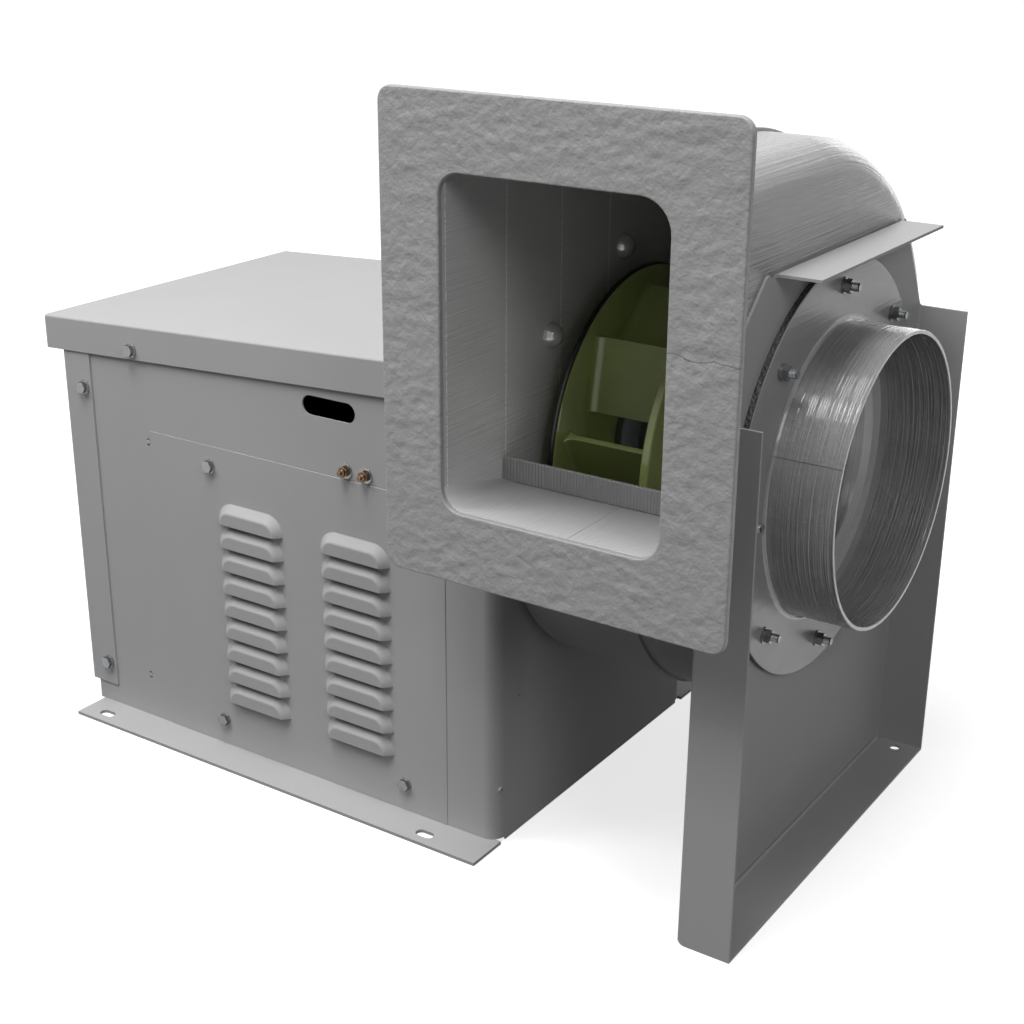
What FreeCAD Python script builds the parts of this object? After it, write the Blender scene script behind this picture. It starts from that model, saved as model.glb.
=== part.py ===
# Belt-drive centrifugal exhaust blower: moulded scroll with a square discharge flange, moulded
# backward-inclined wheel, round duct inlet, sheet-steel drive cabinet and a pressed inlet stand.
# X runs along the fan shaft towards the inlet, -Y is the discharge, Z is up and the floor is Z = 0.
# The origin is the middle of the four slotted holes in the base rails.
import FreeCAD, Part
import math
import os
import re

import Sketcher

os.makedirs("parts", exist_ok=True)
doc = FreeCAD.newDocument("exhaust_blower")
sheet = doc.addObject("Spreadsheet::Sheet", "dims")

DIMENSIONS = [
    ("axis_y", 15, "fan shaft, across the cabinet"),
    ("axis_z", 420, "fan shaft above the floor"),
    ("sheet_t", 2, "cabinet sheet thickness"),
    ("wrap_left", -287, "open end of the cabinet wrap"),
    ("box_right", 321, "cabinet wall next to the scroll"),
    ("box_half", 210.5, "half depth of the cabinet"),
    ("corner_r", 18, "cabinet corner radius"),
    ("end_left", -295, "outside of the end panel"),
    ("strip_right", -253, "inner edge of the end panel's strips"),
    ("strip_low", 30, "underside of the end panel"),
    ("lid_left", -320, "overhanging edge of the lid"),
    ("lid_over", 4, "lid past the cabinet's front and rear"),
    ("lid_z", 498, "lid top at its overhanging edge"),
    ("lid_slope", 0.052, "lid rise per millimetre towards the fan"),
    ("lid_lip", 40, "height of the lid's lip"),
    ("door_left", -162, "access panel"),
    ("door_right", 256, "access panel"),
    ("door_top", 382.5, "access panel"),
    ("door_gap", 0.4, "seam round the access panel"),
    ("hand_x", 106, "hand slot centre"),
    ("hand_z", 457, "hand slot centre"),
    ("hand_half", 25, "hand slot, half distance of its arcs"),
    ("hand_r", 11, "hand slot end radius"),
    ("louver_left", -63, "first louver column"),
    ("louver_wide", 97, "louver width"),
    ("louver_step_x", 150, "louver column spacing"),
    ("louver_low", 67.5, "lowest louver's open edge"),
    ("louver_step_z", 28.2, "louver pitch"),
    ("louver_high", 26.4, "louver height"),
    ("louver_deep", 9.5, "louver projection"),
    ("rail_left", -281, "base rail"),
    ("rail_right", 323, "base rail"),
    ("rail_foot", 45.5, "base rail foot past the cabinet"),
    ("rail_top", 43.5, "base rail top flange width"),
    ("rail_high", 54, "base rail height"),
    ("rail_t", 4, "base rail thickness"),
    ("slot_x", 246, "base slot, from the middle"),
    ("slot_out", 28.5, "base slot, past the cabinet"),
    ("slot_half", 5, "base slot, half distance of its arcs"),
    ("slot_r", 6, "base slot end radius"),
    ("pan_t", 4, "base pan thickness"),
    ("stand_left", -100, "bearing stand"),
    ("stand_right", 290, "bearing stand"),
    ("stand_half", 120, "bearing stand half width"),
    ("stand_t", 6, "bearing stand plate"),
    ("stand_foot", 30, "bearing stand foot flange"),
    ("block_high", 60, "pillow block centre height"),
    ("block_r", 38, "pillow block head radius"),
    ("block_long", 130, "pillow block foot length"),
    ("block_wide", 42, "pillow block width"),
    ("block_a", -75, "pulley-side pillow block"),
    ("block_b", 225, "fan-side pillow block"),
    ("shaft_r", 15, "fan shaft radius"),
    ("shaft_left", -172, "pulley end of the fan shaft"),
    ("shaft_right", 424, "wheel end of the fan shaft"),
    ("fit", 0.05, "running clearance in bearings"),
    ("pulley_left", -158, "pulleys"),
    ("pulley_wide", 26, "pulley width"),
    ("pulley_fan_r", 72, "fan pulley radius"),
    ("pulley_motor_r", 48, "motor pulley radius"),
    ("groove_deep", 10, "belt groove depth"),
    ("groove_wide", 15, "belt groove width"),
    ("belt_t", 9, "belt thickness"),
    ("belt_wide", 13, "belt width"),
    ("belt_gap", 0.4, "belt clearance in its groove"),
    ("motor_z", 160, "motor shaft above the floor"),
    ("motor_r", 78, "motor frame radius"),
    ("motor_left", -112, "motor drive end"),
    ("motor_right", 120, "motor fan end"),
    ("motor_shaft_r", 12, "motor shaft radius"),
    ("motor_foot", 76, "top of the motor slide base"),
    ("slide_long", 170, "motor slide base"),
    ("slide_wide", 190, "motor slide base"),
    ("foot_long", 140, "motor feet"),
    ("foot_wide", 170, "motor feet"),
    ("case_left", 330, "scroll, outside of its drive wall"),
    ("case_seam", 468, "joint of the scroll's two mouldings"),
    ("case_right", 567, "scroll, outside of its inlet wall"),
    ("case_t", 3, "scroll wall"),
    ("case_top", 329, "scroll wrap above the shaft"),
    ("case_back", 295, "scroll wrap behind the shaft"),
    ("case_low", 257, "scroll wrap below the shaft"),
    ("case_front", 224, "scroll wrap in front of the shaft"),
    ("case_floor", 5, "outlet duct floor above the shaft"),
    ("case_round_share", 0.404, "rounded edge of the inlet wall, as a share of its moulding"),
    ("seam_wide", 9, "rim at the joint of the two mouldings"),
    ("seam_high", 3.5, "rim at the joint, above the wrap"),
    ("mouth_y", -315, "scroll end at the discharge flange"),
    ("tongue_r", 4, "scroll tongue radius"),
    ("dome_r", 13, "covered bolt heads on the drive wall"),
    ("dome_circle", 201, "covered bolt heads, circle radius"),
    ("dome_start", 2.7, "first covered bolt head, in degrees"),
    ("dome_count", 8, "covered bolt heads"),
    ("flange_left", 268, "discharge flange"),
    ("flange_right", 632, "discharge flange"),
    ("flange_low", 357, "discharge flange"),
    ("flange_top", 812, "discharge flange"),
    ("flange_t", 6, "discharge flange thickness"),
    ("flange_r", 14, "discharge flange corner radius"),
    ("mouth_r", 25, "discharge opening corner radius"),
    ("mouth_top", 742, "discharge opening top"),
    ("cutoff_y", -207, "cutoff plate, wheel side"),
    ("cutoff_high", 24, "cutoff plate height"),
    ("cutoff_t", 4, "cutoff plate thickness"),
    ("ring_r", 180, "mounting ring outside radius"),
    ("ring_bore", 70, "mounting ring bore radius"),
    ("seal_r", 60, "shaft seal radius"),
    ("seal_t", 6, "shaft seal thickness"),
    ("wheel_left", 352, "wheel back disc"),
    ("wheel_disc", 6, "wheel back disc thickness"),
    ("wheel_r", 182, "wheel radius"),
    ("wheel_right", 506, "wheel eye"),
    ("shroud_edge", 456, "wheel shroud at its rim"),
    ("eye_r", 119, "wheel eye inside radius"),
    ("shroud_t", 5, "wheel shroud thickness"),
    ("blade_in_r", 120, "blade inner radius"),
    ("blade_out_r", 158, "blade outer radius"),
    ("blade_t", 6, "blade thickness"),
    ("blade_sweep", 28.5, "blade tip lag in degrees"),
    ("blade_start", 35.3, "first blade's root in degrees"),
    ("blade_count", 9, "blades"),
    ("hub_r", 44, "wheel hub radius"),
    ("hub_right", 420, "wheel hub end"),
    ("stay_half", 255, "inlet stand half width"),
    ("stay_t", 3, "inlet stand plate"),
    ("stay_deep", 54, "inlet stand flange"),
    ("stay_side", 541, "inlet stand flange top"),
    ("stay_top", 648, "inlet stand top ledge"),
    ("stay_top_left", -147, "inlet stand top edge"),
    ("stay_top_right", 187, "inlet stand top edge"),
    ("stay_round", 10, "inlet stand top corner radius"),
    ("ledge_left", -131, "inlet stand ledge"),
    ("ledge_right", 172, "inlet stand ledge"),
    ("ledge_deep", 46, "inlet stand ledge"),
    ("stay_hole_x", 597, "inlet stand foot hole"),
    ("stay_hole_in", 18, "inlet stand foot hole, from the flange"),
    ("stay_hole_r", 6, "inlet stand foot hole radius"),
    ("inlet_hole_r", 163, "inlet hole in the stand and the scroll"),
    ("plate_t", 7, "inlet plate thickness"),
    ("plate_r", 216, "inlet plate radius"),
    ("collar_r", 152.4, "inlet collar outside radius"),
    ("collar_t", 4, "inlet collar wall"),
    ("collar_right", 648, "inlet collar lip"),
    ("root_r", 9, "collar root radius"),
    ("stud_circle", 190, "inlet stud circle radius"),
    ("stud_r", 4, "inlet stud radius"),
    ("stud_long", 24, "inlet stud length"),
    ("stud_count", 8, "inlet studs"),
    ("stud_hole_r", 4.5, "clearance hole radius"),
    ("cone_r", 160, "inlet cone flange radius"),
    ("cone_flat_r", 128, "inlet cone flat annulus, inside radius"),
    ("cone_throat_r", 112, "inlet cone throat radius"),
    ("cone_left", 500, "inlet cone end"),
    ("cone_t", 3, "inlet cone wall"),
    ("bolt_r", 4, "bolt shank radius"),
    ("bolt_hex", 7.5, "bolt head, corner radius"),
    ("bolt_high", 5.5, "bolt head height"),
    ("washer_r", 8.5, "washer radius"),
    ("washer_t", 1.6, "washer thickness"),
    ("lid_bolt_a", -180, "lid bolt, near the overhang"),
    ("lid_bolt_b", 200, "lid bolt, near the fan"),
    ("lid_bolt_drop", 28.7, "lid bolts below the lid top"),
    ("strip_bolt_in", 12, "end panel bolts, from the strip edge"),
    ("strip_bolt_high", 418.5, "upper end panel bolts"),
    ("strip_bolt_low", 60.5, "lower end panel bolts"),
    ("door_bolt_a", 91, "access panel bolts, from its left edge"),
    ("door_bolt_b", 57, "access panel bolts, from its right edge"),
    ("door_bolt_drop", 24, "upper access panel bolts, from its top"),
    ("door_bolt_low", 37, "lower access panel bolts"),
    ("wall_hole_r", 3, "small holes in the fan-side wall"),
    ("grease_x", 127.5, "first grease fitting"),
    ("grease_step", 27, "grease fitting spacing"),
    ("grease_z", 392.5, "grease fittings"),
    ("grease_r", 5.5, "grease fitting body radius"),
]
for row, (alias, number, note) in enumerate(DIMENSIONS, start=1):
    sheet.set(f"A{row}", note)
    sheet.set(f"B{row}", str(number))
    sheet.setAlias(f"B{row}", alias)
doc.recompute()
ALIASES = {alias for alias, number, note in DIMENSIONS}
nodes = []
role_of = {}


def bound(text):
    """Write an expression's cell names so that any object of the document can read them."""
    return re.sub(r"[a-z][a-z_]*", lambda m: f"dims.{m[0]}" if m[0] in ALIASES else m[0], text)


def value(text):
    """Work out an expression of cell names as a number."""
    return float(sheet.evalExpression(text))


def bind(thing, **expressions):
    for prop, text in expressions.items():
        thing.setExpression(prop.replace("__", "."), bound(text))


def keep(thing, label):
    """Give a finished sub-part its name and list it for export."""
    thing.Label = label
    nodes.append(thing)
    return thing


def vec(x, y, z):
    return FreeCAD.Vector(x, y, z)


# Sketches and features of a body. A sketch lies in the plane across one axis, at a place on that axis,
# and a feature always grows or cuts towards the positive end of that axis.

def new_body(label):
    return keep(doc.addObject("PartDesign::Body", label), label)


def new_sketch(body, name, role, at):
    sketch = body.newObject("Sketcher::SketchObject", name)
    plane = next(feature for feature in body.Origin.OriginFeatures if feature.Role == role)
    sketch.AttachmentSupport = [(plane, "")]
    sketch.MapMode = "FlatFace"
    bind(sketch, AttachmentOffset__Base__z=f"-({at})" if role == "XZ_Plane" else at)
    role_of[sketch.Name] = role
    return sketch


def fix(sketch, kind, text, *places):
    index = sketch.addConstraint(Sketcher.Constraint(kind, *places, value(text)))
    sketch.setExpression(f"Constraints[{index}]", bound(text))


def fix_point(sketch, geo, pos, u, v):
    fix(sketch, "DistanceX", u, -1, 1, geo, pos)
    fix(sketch, "DistanceY", v, -1, 1, geo, pos)


def polygon(body, name, role, points, at="0"):
    sketch = new_sketch(body, name, role, at)
    spots = [vec(value(u), value(v), 0) for u, v in points]
    count = len(spots)
    sketch.addGeometry([Part.LineSegment(spots[i], spots[(i + 1) % count]) for i in range(count)])
    sketch.addConstraint([Sketcher.Constraint("Coincident", i, 2, (i + 1) % count, 1)
                          for i in range(count)])
    for i, (u, v) in enumerate(points):
        fix_point(sketch, i, 1, u, v)
    return sketch


def rectangle(body, name, role, low, high, at="0"):
    (u0, v0), (u1, v1) = low, high
    return polygon(body, name, role, [(u0, v0), (u1, v0), (u1, v1), (u0, v1)], at)


def circles(body, name, role, centres, radius, at="0"):
    sketch = new_sketch(body, name, role, at)
    for i, (u, v) in enumerate(centres):
        sketch.addGeometry(Part.Circle(vec(value(u), value(v), 0), vec(0, 0, 1), value(radius)))
        fix_point(sketch, i, 3, u, v)
        fix(sketch, "Radius", radius, i)
    return sketch


def stadium(body, name, role, u, v, half, radius, at="0"):
    """A slot outline: two half circles joined by straight sides."""
    sketch = new_sketch(body, name, role, at)
    left = vec(value(f"{u} - {half}"), value(v), 0)
    right = vec(value(f"{u} + {half}"), value(v), 0)
    r = value(radius)
    up = vec(0, r, 0)
    arcs = [Part.ArcOfCircle(Part.Circle(left, vec(0, 0, 1), r), math.pi / 2, 3 * math.pi / 2),
            Part.ArcOfCircle(Part.Circle(right, vec(0, 0, 1), r), -math.pi / 2, math.pi / 2)]
    sides = [Part.LineSegment(left - up, right - up), Part.LineSegment(right + up, left + up)]
    sketch.addGeometry(arcs + sides)
    joints = [(0, 2, 2, 1), (2, 2, 1, 1), (1, 2, 3, 1), (3, 2, 0, 1)]
    sketch.addConstraint([Sketcher.Constraint("Tangent", *joint) for joint in joints])
    sketch.addConstraint(Sketcher.Constraint("Equal", 0, 1))
    fix_point(sketch, 0, 3, f"{u} - {half}", v)
    fix_point(sketch, 1, 3, f"{u} + {half}", v)
    fix(sketch, "Radius", radius, 0)
    return sketch


def pad(body, sketch, length):
    feature = body.newObject("PartDesign::Pad", f"{sketch.Name}_pad")
    feature.Profile = sketch
    feature.Reversed = role_of[sketch.Name] == "XZ_Plane"
    bind(feature, Length=length)
    return feature


def pocket(body, sketch, length):
    feature = body.newObject("PartDesign::Pocket", f"{sketch.Name}_pocket")
    feature.Profile = sketch
    feature.Reversed = role_of[sketch.Name] != "XZ_Plane"
    bind(feature, Length=length)
    return feature


def turn(label, points, y="axis_y", z="axis_z"):
    """A body of revolution about a line along X: its profile is given as X and radius."""
    body = new_body(label)
    sketch = polygon(body, f"{label}_profile", "XZ_Plane", points)
    feature = body.newObject("PartDesign::Revolution", f"{label}_turn")
    feature.Profile = sketch
    feature.ReferenceAxis = (sketch, ["H_Axis"])
    feature.Angle = 360
    bind(body, Placement__Base__y=y, Placement__Base__z=z)
    return body


def round_edges(body, radius, wanted):
    """Fillet the edges of the body's last feature that a test picks out."""
    doc.recompute()
    feature = body.Tip
    chosen = [f"Edge{i}" for i, edge in enumerate(feature.Shape.Edges, start=1) if wanted(edge)]
    fillet = body.newObject("PartDesign::Fillet", f"{body.Name}_round")
    fillet.Base = (feature, chosen)
    bind(fillet, Radius=radius)
    return fillet


def runs_along(edge, axis):
    if len(edge.Vertexes) < 2 or not isinstance(edge.Curve, Part.Line):
        return False
    return abs(getattr(edge.Curve.Direction, axis)) > 0.99


def near(edge, **places):
    middle = edge.CenterOfMass
    return all(abs(getattr(middle, axis) - place) < 0.6 for axis, place in places.items())


# Plain primitives, with their sizes and places bound the same way.

def box(name, x, y, z, dx, dy, dz):
    thing = doc.addObject("Part::Box", name)
    bind(thing, Length=dx, Width=dy, Height=dz)
    bind(thing, Placement__Base__x=x, Placement__Base__y=y, Placement__Base__z=z)
    return thing


def rod(name, axis, x, y, z, radius, length):
    thing = doc.addObject("Part::Cylinder", name)
    turns = {"x": (vec(0, 1, 0), 90), "y": (vec(1, 0, 0), -90), "z": (vec(0, 0, 1), 0)}
    thing.Placement = FreeCAD.Placement(vec(0, 0, 0), FreeCAD.Rotation(*turns[axis]))
    bind(thing, Radius=radius, Height=length)
    bind(thing, Placement__Base__x=x, Placement__Base__y=y, Placement__Base__z=z)
    return thing


def hexagon(name, axis, x, y, z, radius, length):
    thing = doc.addObject("Part::Prism", name)
    turns = {"x": (vec(0, 1, 0), 90), "y": (vec(1, 0, 0), -90)}
    thing.Placement = FreeCAD.Placement(vec(0, 0, 0), FreeCAD.Rotation(*turns[axis]))
    thing.Polygon = 6
    bind(thing, Circumradius=radius, Height=length)
    bind(thing, Placement__Base__x=x, Placement__Base__y=y, Placement__Base__z=z)
    return thing


def fuse(label, things):
    thing = doc.addObject("Part::MultiFuse", label)
    thing.Shapes = things
    thing.Refine = True
    return thing


def cut(label, base, tool):
    thing = doc.addObject("Part::Cut", label)
    thing.Base = base
    thing.Tool = tool
    thing.Refine = True
    return thing


def formed(label, shape):
    thing = doc.addObject("Part::Feature", label)
    thing.Shape = shape
    return thing


# Base: two zee rails with slotted feet, and the pan that they carry. The webs stand against the inside of
# the cabinet and stop where its rounded corner begins; the feet run on under the corner.

RAIL_OUT = "box_half + rail_foot"
RAIL_WEB = "box_half - sheet_t"
RAIL_BACK = f"{RAIL_WEB} - rail_t"
RAIL_END = "box_right - corner_r"


def base_rail(label, side):
    body = new_body(label)
    outline = [(RAIL_OUT, "0"), (RAIL_BACK, "0"), (RAIL_BACK, "rail_high - rail_t"),
               (f"{RAIL_WEB} - rail_top", "rail_high - rail_t"), (f"{RAIL_WEB} - rail_top", "rail_high"),
               (RAIL_WEB, "rail_high"), (RAIL_WEB, "rail_t"), (RAIL_OUT, "rail_t")]
    points = [(f"{side} * ({u})", v) for u, v in outline]
    pad(body, polygon(body, f"{label}_section", "YZ_Plane", points, "rail_left"),
        f"{RAIL_END} - rail_left")
    pad(body, rectangle(body, f"{label}_foot", "YZ_Plane", (f"{side} * ({RAIL_BACK})", "0"),
                        (f"{side} * ({RAIL_OUT})", "rail_t"), RAIL_END), f"rail_right - ({RAIL_END})")
    for end in ("-1", "1"):
        slot = stadium(body, f"{label}_slot", "XY_Plane", f"{end} * slot_x",
                       f"{side} * (box_half + slot_out)",
                       "slot_half", "slot_r", "-1")
        pocket(body, slot, "rail_t + 2")


base_rail("base_rail_front", "-1")
base_rail("base_rail_rear", "1")

pan = new_body("base_pan")
pad(pan, rectangle(pan, "pan_outline", "XY_Plane", ("rail_left", f"-({RAIL_BACK})"),
                   (RAIL_END, RAIL_BACK), "rail_high"), "pan_t")

# Cabinet: one bent wrap on three sides, an end panel, a louvered access panel and a sloped lid.

LID_RISE = "lid_z - sheet_t + lid_slope * ({} - lid_left)"


def cut_under_lid(body):
    """Trim a wall's top along the underside of the sloped lid."""
    left, right = "lid_left - 50", "box_right + 50"
    outline = [(left, LID_RISE.format(f"({left})")), (right, LID_RISE.format(f"({right})")),
               (right, "lid_z + 200"), (left, "lid_z + 200")]
    pocket(body, polygon(body, f"{body.Name}_slope", "XZ_Plane", outline, "-2 * box_half"),
           "4 * box_half")


wrap = new_body("cabinet_wrap")
pad(wrap, polygon(wrap, "wrap_plan", "XY_Plane", [
    ("wrap_left", "-box_half"), ("box_right", "-box_half"), ("box_right", "box_half"),
    ("wrap_left", "box_half"), ("wrap_left", "box_half - sheet_t"),
    ("box_right - sheet_t", "box_half - sheet_t"), ("box_right - sheet_t", "-box_half + sheet_t"),
    ("wrap_left", "-box_half + sheet_t")], "rail_t"), "lid_z + 100")
outer_x = value("box_right")
inner_x = value("box_right - sheet_t")
round_edges(wrap, "corner_r", lambda edge: runs_along(edge, "z") and near(edge, x=outer_x))
round_edges(wrap, "corner_r - sheet_t", lambda edge: runs_along(edge, "z") and near(edge, x=inner_x))
cut_under_lid(wrap)
pad(wrap, rectangle(wrap, "wrap_skirt", "YZ_Plane", ("-box_half + corner_r", "0"),
                    ("box_half - corner_r", "rail_t"), "box_right - sheet_t"), "sheet_t")
pocket(wrap, rectangle(wrap, "wrap_doorway", "XZ_Plane", ("door_left - door_gap", "0"),
                       ("door_right + door_gap", "door_top + door_gap"), "-box_half - 5"), "20")
pocket(wrap, stadium(wrap, "wrap_hand_slot", "XZ_Plane", "hand_x", "hand_z", "hand_half", "hand_r",
                     "-box_half - 5"), "20")
pocket(wrap, circles(wrap, "wrap_shaft_hole", "YZ_Plane", [("axis_y", "axis_z")], "seal_r + 4",
                     "box_right - 10"), "20")
pocket(wrap, circles(wrap, "wrap_wall_holes", "YZ_Plane", [("-168.6", "165.8"), ("-200", "65")],
                     "wall_hole_r", "box_right - 10"), "20")
grease_spots = [(f"grease_x + {i} * grease_step", "grease_z") for i in (0, 1)]
pocket(wrap, circles(wrap, "wrap_grease_holes", "XZ_Plane", grease_spots, "stud_hole_r",
                     "-box_half - 5"), "20")

end = new_body("end_panel")
pad(end, polygon(end, "end_plan", "XY_Plane", [
    ("end_left", "-box_half - sheet_t"), ("strip_right", "-box_half - sheet_t"),
    ("strip_right", "-box_half"), ("end_left + sheet_t", "-box_half"),
    ("end_left + sheet_t", "box_half"), ("strip_right", "box_half"),
    ("strip_right", "box_half + sheet_t"), ("end_left", "box_half + sheet_t")], "strip_low"),
    "lid_z + 100")
cut_under_lid(end)

lid = new_body("lid")
LID_HALF = "box_half + lid_over"
LID_TOP = "lid_z + lid_slope * ({} - lid_left)"
right_top = LID_TOP.format("box_right")
pad(lid, polygon(lid, "lid_side", "XZ_Plane", [
    ("lid_left", "lid_z - lid_lip"), ("box_right", f"{right_top} - lid_lip"),
    ("box_right", right_top), ("lid_left", "lid_z")], f"-({LID_HALF})"), f"2 * ({LID_HALF})")
inside_left = "lid_left + sheet_t"
pocket(lid, polygon(lid, "lid_inside", "XZ_Plane", [
    (inside_left, "lid_z - 2 * lid_lip"), ("box_right + 1", "lid_z - 2 * lid_lip"),
    ("box_right + 1", LID_RISE.format("(box_right + 1)")),
    (inside_left, LID_RISE.format(f"({inside_left})"))], f"-({LID_HALF}) + sheet_t"),
    f"2 * ({LID_HALF} - sheet_t)")
lid_edges = value(LID_HALF)
round_edges(lid, "1.5 * sheet_t", lambda edge: abs(abs(edge.CenterOfMass.y) - lid_edges) < 0.1
            and abs(edge.Vertexes[0].Point.x - edge.Vertexes[-1].Point.x) > lid_edges
            and edge.CenterOfMass.z > value("lid_z"))

# Access panel: each louver is a pressed hood with round shoulders, open along its lower edge.

def arch(body, name, left, right, low, high, radius, at):
    """A rectangle whose two upper corners are round."""
    sketch = new_sketch(body, name, "XZ_Plane", at)
    u0, u1, v0, v1, r = (value(text) for text in (left, right, low, high, radius))
    axis = vec(0, 0, 1)
    sketch.addGeometry([
        Part.LineSegment(vec(u0, v0, 0), vec(u1, v0, 0)),
        Part.LineSegment(vec(u1, v0, 0), vec(u1, v1 - r, 0)),
        Part.ArcOfCircle(Part.Circle(vec(u1 - r, v1 - r, 0), axis, r), 0, math.pi / 2),
        Part.LineSegment(vec(u1 - r, v1, 0), vec(u0 + r, v1, 0)),
        Part.ArcOfCircle(Part.Circle(vec(u0 + r, v1 - r, 0), axis, r), math.pi / 2, math.pi),
        Part.LineSegment(vec(u0, v1 - r, 0), vec(u0, v0, 0))])
    corners = [("Coincident", 0, 2, 1, 1), ("Tangent", 1, 2, 2, 1), ("Tangent", 2, 2, 3, 1),
               ("Tangent", 3, 2, 4, 1), ("Tangent", 4, 2, 5, 1), ("Coincident", 5, 2, 0, 1)]
    sketch.addConstraint([Sketcher.Constraint(*corner) for corner in corners])
    sketch.addConstraint([Sketcher.Constraint("Vertical", 1), Sketcher.Constraint("Vertical", 5),
                          Sketcher.Constraint("Horizontal", 3), Sketcher.Constraint("Equal", 2, 4)])
    fix_point(sketch, 0, 1, left, low)
    fix_point(sketch, 0, 2, right, low)
    fix(sketch, "DistanceY", high, -1, 1, 3, 1)
    fix(sketch, "Radius", radius, 2)
    return sketch


def loft(body, kind, name, sections):
    feature = body.newObject(f"PartDesign::{kind}", name)
    feature.Profile = sections[0]
    feature.Sections = sections[1:]
    feature.Ruled = True
    return feature


door = new_body("access_panel")
pad(door, rectangle(door, "door_outline", "XZ_Plane", ("door_left", "rail_t"),
                    ("door_right", "door_top"), "-box_half"), "sheet_t")
LOUVER_RIGHT = "louver_left + louver_wide"
LOUVER_TOP = "louver_low + louver_high"
hood = loft(door, "AdditiveLoft", "hood", [
    arch(door, "hood_root", "louver_left", LOUVER_RIGHT, "louver_low", LOUVER_TOP,
         "0.5 * louver_high", "-box_half"),
    arch(door, "hood_face", "louver_left + 0.6 * louver_deep", f"{LOUVER_RIGHT} - 0.6 * louver_deep",
         "louver_low", f"{LOUVER_TOP} - 0.6 * louver_deep", "0.35 * louver_high",
         "-box_half - louver_deep")])
throat = loft(door, "SubtractiveLoft", "hood_throat", [
    arch(door, "throat_back", "louver_left + sheet_t", f"{LOUVER_RIGHT} - sheet_t",
         "louver_low - 0.5 * sheet_t", f"{LOUVER_TOP} - sheet_t", "0.5 * louver_high - sheet_t",
         "-box_half + 1.1 * sheet_t"),
    arch(door, "throat_face", "louver_left + 0.6 * louver_deep + 0.6 * sheet_t",
         f"{LOUVER_RIGHT} - 0.6 * louver_deep - 0.6 * sheet_t", "louver_low - 0.5 * sheet_t",
         f"{LOUVER_TOP} - 0.6 * louver_deep - sheet_t", "0.35 * louver_high - sheet_t",
         "-box_half - louver_deep + sheet_t")])
rows = door.newObject("PartDesign::LinearPattern", "louver_rows")
rows.Direction = (hood.Profile[0], ["V_Axis"])
rows.Occurrences = 9
bind(rows, Length="8 * louver_step_z")
columns = door.newObject("PartDesign::LinearPattern", "louver_columns")
columns.Direction = (hood.Profile[0], ["H_Axis"])
columns.Occurrences = 2
bind(columns, Length="louver_step_x")
louvers = door.newObject("PartDesign::MultiTransform", "louvers")
louvers.Originals = [hood, throat]
louvers.Transformations = [rows, columns]
door.Tip = louvers

# Hex bolts with their washers, seated in the sheets that they hold.

def hex_bolt(label, x, z, face, side):
    """A bolt on the front (side -1) or rear (side 1) face, with its shank through one sheet."""
    low = {-1: ("-({0}) - washer_t", "-({0}) - washer_t - bolt_high", "-({0})"),
           1: ("({0})", "({0}) + washer_t", "({0}) - sheet_t")}[side]
    washer_y, head_y, shank_y = (text.format(face) for text in low)
    bolt = fuse(label, [
        rod(f"{label}_washer", "y", x, washer_y, z, "washer_r", "washer_t"),
        hexagon(f"{label}_head", "y", x, head_y, z, "bolt_hex", "bolt_high"),
        rod(f"{label}_shank", "y", x, shank_y, z, "bolt_r", "sheet_t")])
    keep(bolt, label)


LID_FACE = LID_HALF
STRIP_FACE = "box_half + sheet_t"
lid_spots = [(x, f"{LID_TOP.format(x)} - lid_bolt_drop") for x in ("lid_bolt_a", "lid_bolt_b")]
strip_spots = [("strip_right - strip_bolt_in", z) for z in ("strip_bolt_high", "strip_bolt_low")]
door_spots = [(x, z) for z in ("door_top - door_bolt_drop", "door_bolt_low")
              for x in ("door_left + door_bolt_a", "door_right - door_bolt_b")]
for side, word in ((-1, "front"), (1, "rear")):
    for i, (x, z) in enumerate(lid_spots, start=1):
        hex_bolt(f"lid_bolt_{word}_{i}", x, z, LID_FACE, side)
    for i, (x, z) in enumerate(strip_spots, start=1):
        hex_bolt(f"end_bolt_{word}_{i}", x, z, STRIP_FACE, side)
for i, (x, z) in enumerate(door_spots, start=1):
    hex_bolt(f"door_bolt_{i}", x, z, "box_half", -1)


def bolt_holes(body, spots, face, name, sides=(-1, 1)):
    """Holes for those bolts through the sheet behind each face, clear of the doubled sheet."""
    for side in sides:
        start = f"-({face}) - 1" if side < 0 else f"({face}) - sheet_t - 0.4"
        holes = circles(body, f"{name}_{'front' if side < 0 else 'rear'}", "XZ_Plane", spots,
                        "stud_hole_r", start)
        pocket(body, holes, "sheet_t + 1.4")


bolt_holes(lid, lid_spots, LID_FACE, "lid_holes")
bolt_holes(end, strip_spots, STRIP_FACE, "end_holes")
bolt_holes(door, door_spots, "box_half", "door_holes", (-1,))

# Extended grease fittings of the two bearings: washer, hexagon and nipple.

for i, (x, z) in enumerate(grease_spots, start=1):
    name = f"grease_fitting_{i}"
    keep(fuse(name, [
        rod(f"{name}_washer", "y", x, "-box_half - washer_t", z, "washer_r", "washer_t"),
        hexagon(f"{name}_hex", "y", x, "-box_half - washer_t - 5", z, "grease_r + 1", "5"),
        rod(f"{name}_neck", "y", x, "-box_half - washer_t - 9", z, "grease_r - 1.5", "5"),
        rod(f"{name}_tip", "y", x, "-box_half - washer_t - 12", z, "grease_r - 2.5", "4"),
        rod(f"{name}_tail", "y", x, "-box_half", z, "bolt_r", "sheet_t + 12")]), name)

# Bearing stand, pillow blocks and the fan shaft.

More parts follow.
